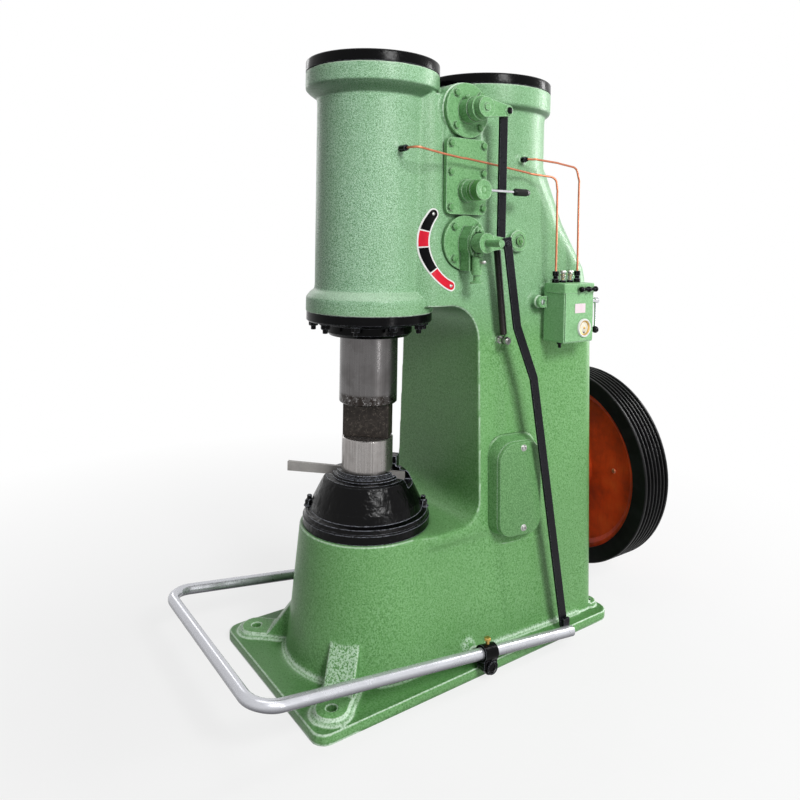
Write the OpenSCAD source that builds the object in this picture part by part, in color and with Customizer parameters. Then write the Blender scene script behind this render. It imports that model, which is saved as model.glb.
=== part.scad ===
// One-piece pneumatic forging hammer: a frame casting with a working cylinder
// in front and a compressor cylinder behind it, a falling ram over a sow block,
// two rotary air valves worked by a treadle, and a grooved flywheel pulley.
// Z is up, -Y is the working side, +X is the control side. The origin is on the
// ram axis at floor level.

/* [Ram and dies] */
// Radius of the polished ram
ram_r = 93; // [80:1:100]
// Step from the ram to the piston on its hidden end
piston_step = 15; // [12:1:20]
// Lift of the ram above the closed dies
stroke = 300; // [200:5:320]
// Height of the parting line of the closed dies
die_z = 703; // [680:1:720]
// Length of the upper die
die_len = 150; // [110:1:155]
// Width of the upper die
die_w = 64; // [50:1:90]
// Turn of the dies and their key about the ram axis
die_turn = 43.5; // [0:0.5:90]
// Height of the upper die
die_h = 112; // [80:1:125]
// Radius of the round lower die
anvil_r = 82; // [60:1:95]

/* [Base and pedestal] */
// Half width of the base plate
base_half_w = 325; // [320:1:330]
// Reach of the base plate in front of the ram axis
base_front = 343; // [330:1:360]
// Reach of the base plate behind the ram axis
base_back = 829; // [820:1:850]
// Thickness of the base plate
base_t = 30; // [25:1:45]
// Corner radius of the base plate
base_corner_r = 42; // [20:1:60]
// Foundation hole radius
hole_r = 15; // [10:0.5:20]
// Distance of a foundation hole from the plate's side
hole_side = 72; // [64:1:80]
// Distance of a front foundation hole from the plate's front
hole_front = 79; // [64:1:90]
// Distance of a rear foundation hole from the plate's back
hole_back = 42; // [38:1:60]
// Raised pad around each front foundation hole: radius
pad_r = 48; // [40:1:50]
// Raised pad around each rear foundation hole: radius
back_pad_r = 32; // [25:1:34]
// Height of the raised pads
pad_h = 16; // [10:1:18]
// Height of the broad ribs on the pedestal, above the base plate
rib_h = 116; // [80:1:150]
// Radius of the pedestal's top, which carries the sow block
ped_top_r = 213; // [205:1:220]
// Radius of the pedestal at the base plate
ped_foot_r = 250; // [235:1:260]
// Height of the pedestal's top
ped_z = 428; // [400:1:440]

/* [Column] */
// Distance of the throat wall behind the ram axis
throat_y = 283; // [275:1:290]
// Height of the throat's roof
throat_z = 1130; // [1115:1:1140]
// Radius in the roof corner of the throat
throat_roof_r = 115; // [60:1:130]
// Radius in the floor corner of the throat
throat_floor_r = 75; // [40:1:90]
// Distance of the column's back behind the ram axis, at the crankcase
column_back = 796; // [780:1:805]
// Half width of the crankcase at the back
case_half_w = 262; // [250:1:270]
// Radius of the crankcase's back corners
case_corner_r = 60; // [40:1:80]

/* [Cylinders] */
// Outer radius of the working cylinder
cyl_r = 176; // [170:1:180]
// Radius of the working cylinder's top flange and cap
cyl_flange_r = 213; // [200:1:215]
// Radius of the working cylinder's lower flange
low_flange_r = 203; // [198:1:210]
// Height of the lower flange's face
low_flange_z = 1106; // [1095:1:1110]
// Thickness of the lower flange
low_flange_h = 61; // [50:1:70]
// Height of the working cylinder's top face
cyl_top = 1856; // [1840:1:1860]
// Thickness of the working cylinder's top flange
top_flange_h = 63; // [50:1:70]
// Thickness of the black caps
cap_h = 34; // [25:1:40]
// Distance of the compressor cylinder behind the ram axis
rear_y = 478; // [465:1:490]
// Outer radius of the compressor cylinder
rear_r = 209; // [200:1:212]
// Radius of the compressor cylinder's flange and cap
rear_flange_r = 229; // [220:1:235]
// Height of the compressor cylinder's top face
rear_top = 1853; // [1840:1:1856]
// Outer radius of the gland ring under the working cylinder
gland_r = 201; // [195:1:203]
// Radius of the gland's neck
gland_neck_r = 138; // [125:1:150]

/* [Valves] */
// Distance of the valve axes behind the ram axis
valve_y = 220; // [215:1:225]
// Height of the upper valve
top_valve_z = 1744; // [1735:1:1750]
// Height of the start handle's axis
start_z = 1493; // [1485:1:1500]
// Height of the lower valve
low_valve_z = 1330; // [1325:1:1335]
// Distance of the valve covers' outer face from the ram axis
cover_x = 212; // [210:1:216]
// Radius of the round valve covers
valve_cover_r = 86; // [80:1:88]
// Radius of a valve spindle
spindle_r = 11; // [8:0.5:14]
// Length of the valve levers between centres
lever_arm = 96; // [85:1:105]

/* [Treadle] */
// Outer radius of the treadle tube
tube_r = 17; // [14:0.5:20]
// Gap between the base plate and the treadle's side bars
treadle_gap = 7; // [5:1:12]
// Reach of the treadle's front bar
treadle_front = 530; // [500:5:560]
// Height of the front bar
treadle_z = 190; // [170:1:210]
// Reach of the control arm behind the ram axis
treadle_rear = 600; // [580:1:610]
// Distance of the treadle's cross shaft behind the ram axis
shaft_y = 222; // [210:1:235]
// Height of the cross shaft
shaft_z = 50; // [46:1:56]
// Radius of the cross shaft
shaft_r = 14; // [10:0.5:16]
// Bend radius of the treadle's front corners
treadle_bend_r = 75; // [50:1:100]

/* [Flywheel] */
// Outer radius of the grooved rim
wheel_r = 380; // [340:1:400]
// Width of the rim
wheel_w = 137; // [110:1:150]
// Distance of the rim's inner face behind the ram axis
wheel_y = 945; // [930:1:960]
// Height of the crankshaft
wheel_z = 444; // [430:1:455]
// Number of belt grooves
groove_count = 6; // [3:1:7]
// Depth of a belt groove
groove_depth = 14; // [8:1:18]
// Radius of the crankshaft
crank_r = 32; // [24:1:40]
// Outer radius of the bearing housing
bearing_r = 86; // [70:1:95]

/* [Lubricator] */
// Width of the lubricator box along the machine
lub_w = 142; // [120:1:150]
// Height of the lubricator box
lub_h = 194; // [170:1:200]
// Depth of the lubricator box away from the wall
lub_d = 92; // [80:1:100]
// Outer radius of the copper feed pipes
pipe_r = 3.5; // [2.5:0.5:5]

/* [Hidden] */
$fn = 64;

run_fit = 0.05;     // radial clearance of a shaft in its bore
side_gap = 0.5;     // gap between faces that slide past each other
seat_gap = 0.3;     // gap between curved faces of fixed pieces
pin_play = 1.2;     // play of the link's lower end on its pin

green = "#5FA06B";
black = "#1B1C1E";
steel = "#8E8A84";

// Foundation holes: [X, Y, radius of the raised pad]
base_holes = [
    for (sx = [-1, 1], end = [[-base_front + hole_front, pad_r], [base_back - hole_back, back_pad_r]])
        [sx * (base_half_w - hole_side), end[0], end[1]]
];
pad_step_h = 6;     // height of the step around a front pad
pad_step = 12;      // width of that step

// Height and section of each level of the crankcase: [z, half width at the
// front, half width at the back, distance of the back, back corner radius]
case_foot_w = case_half_w + 19;
case_levels = [
    [base_t - 1, case_foot_w - 20, case_foot_w, column_back + 10, case_corner_r],
    [1060, case_half_w - 44, case_half_w, column_back, case_corner_r],
    [1240, case_half_w - 54, case_half_w - 16, column_back - 12, case_corner_r + 20],
    [1400, case_half_w - 62, case_half_w - 40, column_back - 58, case_corner_r + 90],
    [1580, rear_r - 16, rear_r, rear_y + rear_r + 8, rear_r - 4],
];
case_front = throat_y + 52;
case_front_r = 62;
neck_top_w = 182;
neck_foot_w = 236;
neck_corner_r = 88;

piston_r = ram_r + piston_step;
bore_r = piston_r + 1;
ram_low_z = die_z + die_h;
ram_len = stroke + 360;
sow_top_z = ped_z + 171;
sow_top_r = 97;
tongue_w = 70;
tongue_len = 2 * sqrt(pow(anvil_r, 2) - pow(tongue_w / 2, 2)) - 8;
tongue_h = 46;
key_t = 14;
key_out = 284;
key_len = 400;

treadle_x = base_half_w + treadle_gap + tube_r;
seat_x = cover_x - 16;      // face that the valve covers are bolted to
back_pad_y = column_back + 14;
spring_at = [250, valve_y + lever_arm, low_valve_z];
stud_at = [250, valve_y + lever_arm + 41, low_valve_z - 314];
spring_r = 12;
lever_in_x = 276;           // inner face of the valve levers
lever_t = 15;
strap_t = 8;
strap_w = 31;
link_x = lever_in_x - 2 - strap_t / 2;
drive_x = lever_in_x + lever_t + 3 + strap_t / 2;
rear_tube_z = 33;
strap_top = [drive_x, valve_y + lever_arm, low_valve_z];
strap_foot = [treadle_x - tube_r - 2 - strap_t / 2, treadle_rear - 14];
strap_foot_z = treadle_height(strap_foot.y) + 26;

function treadle_height(y) =
    treadle_z - (y + treadle_front) * (treadle_z - rear_tube_z) / (treadle_rear + treadle_front);
treadle_slope = atan((treadle_z - rear_tube_z) / (treadle_rear + treadle_front));

wall_at = function(y, z)
    let (t = (z - base_t) / (1060 - base_t),
         front_w = case_levels[0][1] + t * (case_levels[1][1] - case_levels[0][1]),
         back_w = case_levels[0][2] + t * (case_levels[1][2] - case_levels[0][2]),
         s = (y - case_front) / (column_back - case_corner_r - case_front))
    front_w + s * (back_w - front_w);

hub_front = cover_x + 44;   // front of the lower valve's stuffing box
drain_drop = 88;            // depth of its outlet below the valve's axis
drain_x = hub_front + 12;
drain_r = 17;
start_cover_w = 164;
start_cover_h = top_valve_z - low_valve_z - 2 * valve_cover_r - 4;
start_cover_z = (top_valve_z + low_valve_z) / 2;
plug_y = rear_y - 42;
plug_z = low_valve_z + 7;
plug_x = case_levels[2][1] + 18;

side_cover_w = 158;
side_cover_h = 326;
side_cover_at = [432, 526];

lub_y = 602;
lub_z = 1102;
lub_back_x = wall_at(lub_y + lub_w / 2, lub_z - lub_h / 2) + 1;
lub_row_x = lub_back_x + 32;
lub_top_z = lub_z + lub_h / 2;
sight_y = [for (i = [-0.5, 0.5]) lub_y + i * 36];
union_y = [lub_y - 53, lub_y + 53];

front_union_at = [cyl_r + 4, -14, 1608];
rear_union_at = [rear_r + 6, rear_y - 22, 1608];

// ---------------------------------------------------------------- helpers

// Cylinder along X that starts at x0
module x_cyl(r, x0, x1, y, z, r2 = -1)
    translate([x0, y, z]) rotate([0, 90, 0])
        cylinder(r1 = r, r2 = r2 < 0 ? r : r2, h = x1 - x0);

// Cylinder along Y that starts at y0
module y_cyl(r, y0, y1, x, z, r2 = -1)
    translate([x, y0, z]) rotate([-90, 0, 0])
        cylinder(r1 = r, r2 = r2 < 0 ? r : r2, h = y1 - y0);

// Rectangle with true round corners, centred
module round_rect(w, h, r) {
    square([w - 2 * r, h], center = true);
    square([w, h - 2 * r], center = true);
    for (sx = [-1, 1], sy = [-1, 1])
        translate([sx * (w / 2 - r), sy * (h / 2 - r)]) circle(r);
}

// Plate that lies against a wall: its outline is in Y and Z, its face on +X
module wall_plate(x0, x1, y, z) {
    translate([x0, y, z]) rotate([90, 0, 90]) linear_extrude(x1 - x0) children();
}

// Flat bar between two points of its centre line, square to X
module flat_bar(a, b, w, t) {
    hull() for (q = [a, b]) translate(q) cube([t, w, 0.6], center = true);
}

function unit(v) = v / norm(v);

// Points along an open path with its corners rounded to a radius
function corner(a, b, c, r, steps) =
    let (u = unit(a - b), v = unit(c - b), half = acos(u * v) / 2,
         cut = r / tan(half), mid = unit(u + v), o = b + mid * r / sin(half))
    [for (i = [0 : steps])
        let (k = i / steps, q = b + u * cut * (1 - k) + v * cut * k)
        o + unit(q - o) * r];

function rounded_path(p, r, steps) = concat(
    [p[0]],
    [for (i = [1 : len(p) - 2]) each corner(p[i - 1], p[i], p[i + 1], r, steps)],
    [p[len(p) - 1]]);

// Round tube swept along a path, as one closed skin
module sweep(path, r, sides = 10) {
    n = len(path);
    tangent = [for (i = [0 : n - 1])
        unit(path[min(i + 1, n - 1)] - path[max(i - 1, 0)])];
    side = [for (t = tangent)
        unit(cross(t, abs(t.x) < 0.75 ? [1, 0, 0] : [0, 0, 1]))];
    points = [for (i = [0 : n - 1], k = [0 : sides - 1])
        path[i] + r * (cos(360 * k / sides) * side[i]
            + sin(360 * k / sides) * cross(tangent[i], side[i]))];
    walls = [for (i = [0 : n - 2], k = [0 : sides - 1])
        let (a = i * sides, b = a + sides, m = (k + 1) % sides)
        [a + k, b + k, b + m, a + m]];
    ends = [[for (k = [0 : sides - 1]) k],
            [for (k = [sides - 1 : -1 : 0]) (n - 1) * sides + k]];
    polyhedron(points, concat(walls, ends), convexity = 4);
}

// ------------------------------------------------------- frame casting

// One level of the crankcase as a thin slab
module case_slab(level) {
    front = level[1];
    back = level[2];
    r = level[4];
    for (sx = [-1, 1]) {
        translate([sx * (front - case_front_r), case_front + case_front_r, level[0]])
            cylinder(r = case_front_r, h = 1, $fn = 32);
        translate([sx * (back - r), level[3] - r, level[0]]) cylinder(r = r, h = 1, $fn = 32);
    }
}

module crankcase() {
    for (i = [0 : len(case_levels) - 2])
        hull() {
            case_slab(case_levels[i]);
            case_slab(case_levels[i + 1]);
        }
}

// Front of the column, which carries the working cylinder over the throat
module neck(grow = 0) {
    ends = [neck_corner_r + 40, case_front + 100];
    hull() for (sx = [-1, 1], y = ends) {
        translate([sx * (neck_top_w - neck_corner_r), y, rear_top - top_flange_h])
            cylinder(r = neck_corner_r + grow, h = 1, $fn = 32);
        translate([sx * (neck_foot_w - neck_corner_r), y, ped_z - 40])
            cylinder(r = neck_corner_r + grow, h = 1, $fn = 32);
    }
}

// Outline of the throat in Y and Z, with its round corners
module throat_outline() {
    r_roof = throat_roof_r;
    r_floor = throat_floor_r;
    far = -base_front;
    polygon([
        [far, ped_z],
        for (a = [-90 : 10 : 0])
            [throat_y - r_floor + r_floor * cos(a), ped_z + r_floor + r_floor * sin(a)],
        for (a = [0 : 10 : 90])
            [throat_y - r_roof + r_roof * cos(a), throat_z - r_roof + r_roof * sin(a)],
        [far, throat_z]
    ]);
}

module pedestal() {
    hull() {
        translate([0, 0, base_t - 1])
            cylinder(r1 = ped_foot_r, r2 = ped_top_r, h = ped_z - base_t + 1, $fn = 72);
        for (sx = [-1, 1]) {
            translate([sx * (case_foot_w - 86), case_front + 30, base_t - 1])
                cylinder(r = 66, h = 1, $fn = 32);
            translate([sx * (neck_foot_w - 76), case_front + 30, ped_z - 1])
                cylinder(r = 66, h = 1, $fn = 32);
        }
    }
}

module base_plate() {
    length = base_front + base_back;
    translate([0, length / 2 - base_front, 0])
        linear_extrude(base_t) round_rect(2 * base_half_w, length, base_corner_r);
    for (h = base_holes) translate([h.x, h.y, base_t - 1]) cylinder(r = h[2], h = pad_h + 1);
}

// Stepped tongue from a front foundation pad to the pedestal, and the broad
// rib that slopes down to it
module corner_rib(side) {
    pad = [side * (base_half_w - hole_side), -base_front + hole_front];
    reach = norm(pad);
    root = ped_top_r - 20;
    rib_w = 2 * pad_r - 5;
    foot = reach - pad_r + 2;
    slope = (rib_h - pad_h) / (foot - 6 - (ped_foot_r - 10));
    rotate([0, 0, atan2(pad.y, pad.x)]) {
        for (tread = [[pad_r, pad_h], [pad_r + pad_step, pad_step_h]]) {
            half_w = tread[0] - 1.2;
            translate([root, -half_w, base_t - 1]) cube([reach - root, 2 * half_w, tread[1] + 1]);
        }
        translate([reach, 0, base_t - 1]) cylinder(r = pad_r + pad_step, h = pad_step_h + 1);
        translate([0, rib_w / 2, 0]) rotate([90, 0, 0]) linear_extrude(rib_w)
            polygon([[root, base_t + 2], [foot, base_t + 2], [foot, base_t + pad_h - 6 * slope],
                     [root, base_t + pad_h + (foot - 6 - root) * slope]]);
    }
}

module front_cylinder() {
    edge = 10;
    roof = low_flange_z + low_flange_h;
    rotate_extrude()
        polygon([[0, low_flange_z], [low_flange_r, low_flange_z],
                 [low_flange_r, roof - 16], [low_flange_r - 12, roof],
                 [cyl_r, roof + 10], [cyl_r, cyl_top - top_flange_h - 19],
                 [cyl_flange_r - edge, cyl_top - top_flange_h],
                 [cyl_flange_r, cyl_top - top_flange_h + edge],
                 [cyl_flange_r, cyl_top], [0, cyl_top]]);
}

module rear_cylinder() {
    edge = 9;
    translate([0, rear_y, 0]) rotate_extrude()
        polygon([[0, 1500], [rear_r, 1500], [rear_r, rear_top - 73 - edge],
                 [rear_flange_r - 4, rear_top - 73], [rear_flange_r, rear_top - 73 + edge],
                 [rear_flange_r, rear_top], [0, rear_top]]);
}

// Seats of the valve covers, raised on the side of the neck
module valve_chest() {
    x0 = neck_top_w - 40;
    for (z = [top_valve_z, low_valve_z]) x_cyl(valve_cover_r + 4, x0, seat_x, valve_y, z);
    wall_plate(x0, seat_x, valve_y, (top_valve_z + low_valve_z) / 2)
        square([150, top_valve_z - low_valve_z], center = true);
}

// Machined faces and pads that carry the bolted pieces
module wall_bosses() {
    x_cyl(36, case_levels[2][1] - 30, plug_x, plug_y, plug_z);
    x_cyl(15, stud_at.x - 70, stud_at.x - 26, stud_at.y, stud_at.z);
    for (at = [front_union_at, rear_union_at]) x_cyl(15, at.x - 20, at.x, at.y, at.z);
    side_cover_place() translate([0, 0, -30]) linear_extrude(30)
        round_rect(side_cover_w + 6, side_cover_h + 6, 26);
    translate([lub_back_x - 40, lub_y, lub_z]) rotate([90, 0, 90]) linear_extrude(40)
        round_rect(lub_w - 24, lub_h - 24, 12);
    // pad of the box's lug
    x_cyl(22, lub_back_x - 40, lub_back_x, lub_y - lub_w / 2 - 20, lub_z + 34);
    y_cyl(bearing_r + 38, column_back - 40, back_pad_y, 0, wheel_z);
}

// Half-round bosses on the foot of the casting, around the cross shaft
module shaft_bosses() {
    x_cyl(24, -case_foot_w - 8, case_foot_w + 8, shaft_y, shaft_z);
}

module frame_casting() {
    color(green) difference() {
        union() {
            difference() {
                union() {
                    neck();
                    crankcase();
                }
                translate([-base_half_w, 0, 0]) rotate([90, 0, 90])
                    linear_extrude(2 * base_half_w) throat_outline();
            }
            pedestal();
            base_plate();
            for (side = [-1, 1]) corner_rib(side);
            front_cylinder();
            rear_cylinder();
            valve_chest();
            wall_bosses();
            shaft_bosses();
        }
        // machined recesses behind the valve covers
        for (z = [top_valve_z, low_valve_z])
            x_cyl(valve_cover_r + 1, seat_x, cover_x + 40, valve_y, z);
        wall_plate(seat_x, cover_x + 40, valve_y, start_cover_z)
            round_rect(start_cover_w + 2, start_cover_h + 6, 23);
        // cylinder bore, closed by the gland below and the cap above
        translate([0, 0, low_flange_z - 1]) cylinder(r = bore_r, h = cyl_top - low_flange_z + 2);
        // valve chambers behind the round covers
        for (z = [top_valve_z, low_valve_z])
            x_cyl(spindle_r + 6, seat_x - 40, seat_x + 1, valve_y, z);
        // cross shaft
        x_cyl(shaft_r + run_fit, -base_half_w, base_half_w, shaft_y, shaft_z);
        // crankshaft chamber
        y_cyl(crank_r + 6, column_back - 120, back_pad_y + 1, 0, wheel_z);
        for (h = base_holes) translate([h.x, h.y, -1]) cylinder(r = hole_r, h = base_t + pad_h + 2);
    }
}

// --------------------------------------------------- caps, gland and dies

module front_cap() {
    color(black) translate([0, 0, cyl_top]) rotate_extrude()
        polygon([[0, 0], [cyl_flange_r, 0], [cyl_flange_r, cap_h - 5],
                 [cyl_flange_r - 5, cap_h], [0, cap_h]]);
}

module rear_cap() {
    color(black) translate([0, rear_y, rear_top]) rotate_extrude()
        polygon([[0, 0], [rear_flange_r, 0], [rear_flange_r, cap_h - 5],
                 [rear_flange_r - 5, cap_h], [0, cap_h]]);
}

module gland() {
    ring_h = 30;
    neck_h = 75;
    bore = ram_r + run_fit;
    color(black) translate([0, 0, low_flange_z]) rotate_extrude()
        polygon([[bore, 0], [gland_r, 0], [gland_r, -ring_h + 4], [gland_r - 4, -ring_h],
                 [gland_neck_r + 12, -ring_h], [gland_neck_r, -ring_h - 12],
                 [gland_neck_r, -neck_h + 10], [gland_neck_r - 10, -neck_h],
                 [bore, -neck_h]]);
}

module sow_block() {
    h = sow_top_z - ped_z;
    rim = ped_top_r - 9;
    wall_in = tongue_w / 2 + key_t + 1;
    color(black) difference() {
        union() {
            translate([0, 0, ped_z]) rotate_extrude()
                polygon([[0, 0], [rim, 0], [rim, 26], [rim - 4, 30], [rim - 8, 42],
                         [rim - 24, 48], [rim - 30, 74], [rim - 66, h - 26],
                         [rim - 72, h - 20], [sow_top_r + 15, h - 18], [sow_top_r + 13, h - 9],
                         [sow_top_r + 3, h - 9], [sow_top_r, h - 6], [sow_top_r - 1, h], [0, h]]);
            // wall behind the key, and the shoulders that it stands on
            rotate([0, 0, die_turn]) translate([-86, wall_in, sow_top_z - 60])
                cube([172, 44, 84]);
        }
        // slot of the die's tongue and its key
        rotate([0, 0, die_turn])
            translate([-ped_top_r, -tongue_w / 2, sow_top_z - tongue_h])
                cube([2 * ped_top_r, tongue_w + key_t + seat_gap, tongue_h + 1]);
        // room for the round part of the die
        translate([0, 0, sow_top_z]) cylinder(r = anvil_r + 2, h = 80);
    }
}

// Round lower die on a straight tongue
module lower_die() {
    color(steel) {
        translate([0, 0, sow_top_z]) rotate_extrude()
            polygon([[0, 0], [anvil_r, 0], [anvil_r, die_z - sow_top_z - 3],
                     [anvil_r - 3, die_z - sow_top_z], [0, die_z - sow_top_z]]);
        rotate([0, 0, die_turn]) translate([-tongue_len / 2, -tongue_w / 2, sow_top_z - tongue_h])
            cube([tongue_len, tongue_w, tongue_h + 5]);
    }
}

// Long tapered key beside the tongue, driven in from the front left
module wedge_key() {
    color("#A9A7A4") rotate([0, 0, die_turn])
        translate([-key_out, tongue_w / 2 + key_t, sow_top_z - tongue_h])
            rotate([90, 0, 0]) linear_extrude(key_t)
                polygon([[0, 0], [key_len, 0], [key_len, 24], [0, 31]]);
}

module ram() {
    top_z = ram_low_z + ram_len;
    color(steel) union() {
        translate([0, 0, ram_low_z]) rotate_extrude()
            polygon([[0, 0], [ram_r - 3, 0], [ram_r, 3], [ram_r, ram_len - 110],
                     [0, ram_len - 110]]);
        translate([0, 0, top_z - 110]) cylinder(r = piston_r, h = 110);
    }
}

module upper_die() {
    edge = 4;
    color(steel) translate([0, 0, die_z]) rotate([0, 0, die_turn]) {
        translate([0, 0, edge]) linear_extrude(die_h - edge) round_rect(die_len, die_w, 3);
        linear_extrude(edge) round_rect(die_len - 2 * edge, die_w - 2 * edge, 2);
    }
}

// ------------------------------------------------------------- valves

// Round valve cover with a hub that carries the spindle
module valve_cover(z, hub_r) {
    difference() {
        union() {
            x_cyl(valve_cover_r, seat_x, cover_x - 2, valve_y, z);
            x_cyl(valve_cover_r, cover_x - 2, cover_x, valve_y, z, valve_cover_r - 3);
            children();
        }
        x_cyl(spindle_r + run_fit, seat_x - 1, lever_in_x, valve_y, z);
    }
}

module top_valve_cover() {
    color(green) valve_cover(top_valve_z) {
        x_cyl(40, cover_x - 1, cover_x + 36, valve_y, top_valve_z);
        x_cyl(36, cover_x + 35, cover_x + 41, valve_y, top_valve_z);
        x_cyl(38, cover_x + 40, lever_in_x - side_gap, valve_y, top_valve_z);
    }
}

module low_valve_cover() {
    color(green) valve_cover(low_valve_z) {
        // stuffing box with its outlet below
        wall_plate(cover_x - 1, hub_front, valve_y, low_valve_z)
            polygon([[-9, 52], [9, 52], [29, 15], [29, -20], [22, -34], [22, -drain_drop],
                     [-22, -drain_drop], [-22, -34], [-29, -20], [-29, 15]]);
        x_cyl(26, hub_front - 1, lever_in_x - side_gap, valve_y, low_valve_z);
    }
}

// Rectangular cover of the start valve, with the stem of its handle
module start_cover() {
    color(green) difference() {
        union() {
            wall_plate(seat_x, cover_x, valve_y, start_cover_z)
                round_rect(start_cover_w, start_cover_h, 22);
            x_cyl(36, cover_x - 1, cover_x + 16, valve_y, start_z);
            x_cyl(33, cover_x + 15, cover_x + 38, valve_y, start_z);
        }
        x_cyl(spindle_r + run_fit, cover_x - 2, lever_in_x, valve_y, start_z);
    }
}

module drain_stub() {
    color(green) difference() {
        translate([drain_x, valve_y, low_valve_z - 126]) rotate_extrude()
            polygon([[0, 0], [21, 0], [21, 4], [11, 9], [11, 24], [drain_r, 27], [drain_r, 78],
                     [drain_r - 3, 84], [0, 84]]);
        // flat seat on the front of the stuffing box
        translate([hub_front - 40, valve_y - 40, low_valve_z - drain_drop - 12])
            cube([40 + seat_gap, 80, 100]);
    }
}

module drain_cock() {
    z = low_valve_z - 58;
    color("#B9B7B0") difference() {
        union() {
            x_cyl(5, drain_x + drain_r - 3, drain_x + drain_r + 14, valve_y, z);
            translate([drain_x + drain_r + 14, valve_y, z]) sphere(7, $fn = 24);
        }
        translate([drain_x, valve_y, z - 20]) cylinder(r = drain_r + seat_gap / 2, h = 30);
    }
}

module plug_boss() {
    color(green) {
        x_cyl(24, plug_x, plug_x + 5, plug_y, plug_z);
        x_cyl(14, plug_x + 5, plug_x + 16, plug_y, plug_z, $fn = 6);
    }
}

// Lever with a round eye on the spindle and a pin at the free end
module valve_lever(z, arm_t, eye_t, pin_in, pin_out) {
    eye_r = 31;
    end_r = 18;
    end = [valve_y + lever_arm, z];
    tilt = asin((eye_r - end_r) / lever_arm);
    eye_in = eye_r - 1.5;
    end_in = end_r - 1.5;
    x_cyl(spindle_r, cover_x - 14, lever_in_x + 1, valve_y, z);
    x_cyl(eye_r, lever_in_x, lever_in_x + eye_t, valve_y, z);
    x_cyl(end_r, lever_in_x, lever_in_x + arm_t, end.x, end.y);
    wall_plate(lever_in_x, lever_in_x + arm_t, valve_y, z)
        polygon([[eye_in * sin(tilt), eye_in * cos(tilt)],
                 [lever_arm + end_in * sin(tilt), end_in * cos(tilt)],
                 [lever_arm + end_in * sin(tilt), -end_in * cos(tilt)],
                 [eye_in * sin(tilt), -eye_in * cos(tilt)]]);
    x_cyl(8, pin_in, pin_out, end.x, end.y);
}

module upper_lever() {
    arm_t = lever_t + 3;
    eye_t = lever_t + 9;
    color(green) {
        valve_lever(top_valve_z, arm_t, eye_t, link_x - strap_t / 2 - 5, lever_in_x + arm_t + 5);
        // end of the spindle, and the collar of the pin
        x_cyl(spindle_r - 1, lever_in_x + eye_t - 1, lever_in_x + eye_t + 4, valve_y, top_valve_z);
        x_cyl(14, lever_in_x + arm_t - 1, lever_in_x + arm_t + 3, valve_y + lever_arm, top_valve_z);
    }
}

module lower_lever() {
    color(green) {
        valve_lever(low_valve_z, lever_t, lever_t + 23, spring_at.x - 8, lever_in_x + lever_t + 1);
        // long end of the spindle, in front of the eye
        x_cyl(spindle_r, lever_in_x + lever_t + 22, lever_in_x + 102, valve_y, low_valve_z);
    }
}

// Flat link between the two valve levers
module link_strap() {
    color(black) difference() {
        translate([link_x, valve_y + lever_arm, (top_valve_z + low_valve_z) / 2])
            cube([strap_t, strap_w, top_valve_z - low_valve_z + strap_w], center = true);
        x_cyl(8 + run_fit, link_x - strap_t, link_x + strap_t, valve_y + lever_arm, top_valve_z);
        // the lower end rides on its pin with play
        x_cyl(8 + pin_play, link_x - strap_t, link_x + strap_t, valve_y + lever_arm, low_valve_z);
    }
}

// Closely wound tension spring from the lower lever's pin to the stud
module return_spring() {
    hook = 22;
    way = stud_at - spring_at;
    length = norm(way);
    color("#2A2320") translate(spring_at) rotate([180 + atan(way.y / -way.z), 0, 0])
        difference() {
            union() {
                translate([0, 0, hook]) cylinder(r = spring_r, h = length - 2 * hook);
                cylinder(r = 4, h = length);
                for (z = [0, length]) translate([0, 0, z]) rotate([0, 90, 0])
                    cylinder(r = spring_r, h = 6, center = true);
            }
            for (z = [0, length]) translate([0, 0, z]) rotate([0, 90, 0])
                cylinder(r = 8 + seat_gap, h = 20, center = true);
        }
}

module spring_stud() {
    seat = stud_at.x - 26;
    color("#B9B7B0") {
        x_cyl(8, seat, stud_at.x + 24, stud_at.y, stud_at.z);
        x_cyl(13, stud_at.x + 10, stud_at.x + 20, stud_at.y, stud_at.z, $fn = 6);
        x_cyl(13, seat, seat + 8, stud_at.y, stud_at.z, $fn = 6);
    }
}

// -------------------------------------------------------- start handle

handle_x = 284;

module start_hub() {
    color(green) difference() {
        union() {
            x_cyl(spindle_r, cover_x + 2, cover_x + 40, valve_y, start_z);
            // knob with a groove round it
            x_cyl(33, cover_x + 38 + side_gap, cover_x + 50, valve_y, start_z);
            x_cyl(30, cover_x + 49, cover_x + 55, valve_y, start_z);
            x_cyl(32, cover_x + 54, handle_x + 10, valve_y, start_z);
        }
        y_cyl(4.5 + run_fit, valve_y + 15, valve_y + 60, handle_x, start_z);
    }
}

module start_rod() {
    color("#D8D8DC") y_cyl(4.5, valve_y + 16, valve_y + 190, handle_x, start_z);
}

module start_grip() {
    color(black) difference() {
        translate([handle_x, valve_y + 134, start_z]) rotate([-90, 0, 0]) rotate_extrude()
            polygon([[0, 0], [8, 0], [12, 6], [12, 52], [9, 64], [0, 64]]);
        y_cyl(4.5 + run_fit, valve_y + 133, valve_y + 190 + side_gap, handle_x, start_z);
    }
}

// ------------------------------------------------------------ treadle

module treadle_tube() {
    left_end = shaft_y + 46;
    centre = rounded_path([
        [-treadle_x, left_end, treadle_height(left_end)],
        [-treadle_x, -treadle_front, treadle_z],
        [treadle_x, -treadle_front, treadle_z],
        [treadle_x, treadle_rear, treadle_height(treadle_rear)]
    ], treadle_bend_r, 7);
    color("#DADCE0") sweep(centre, tube_r, 20);
}

module treadle_shaft() {
    color("#55565A") x_cyl(shaft_r, -treadle_x - 26, treadle_x + 22, shaft_y, shaft_z);
}

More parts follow.
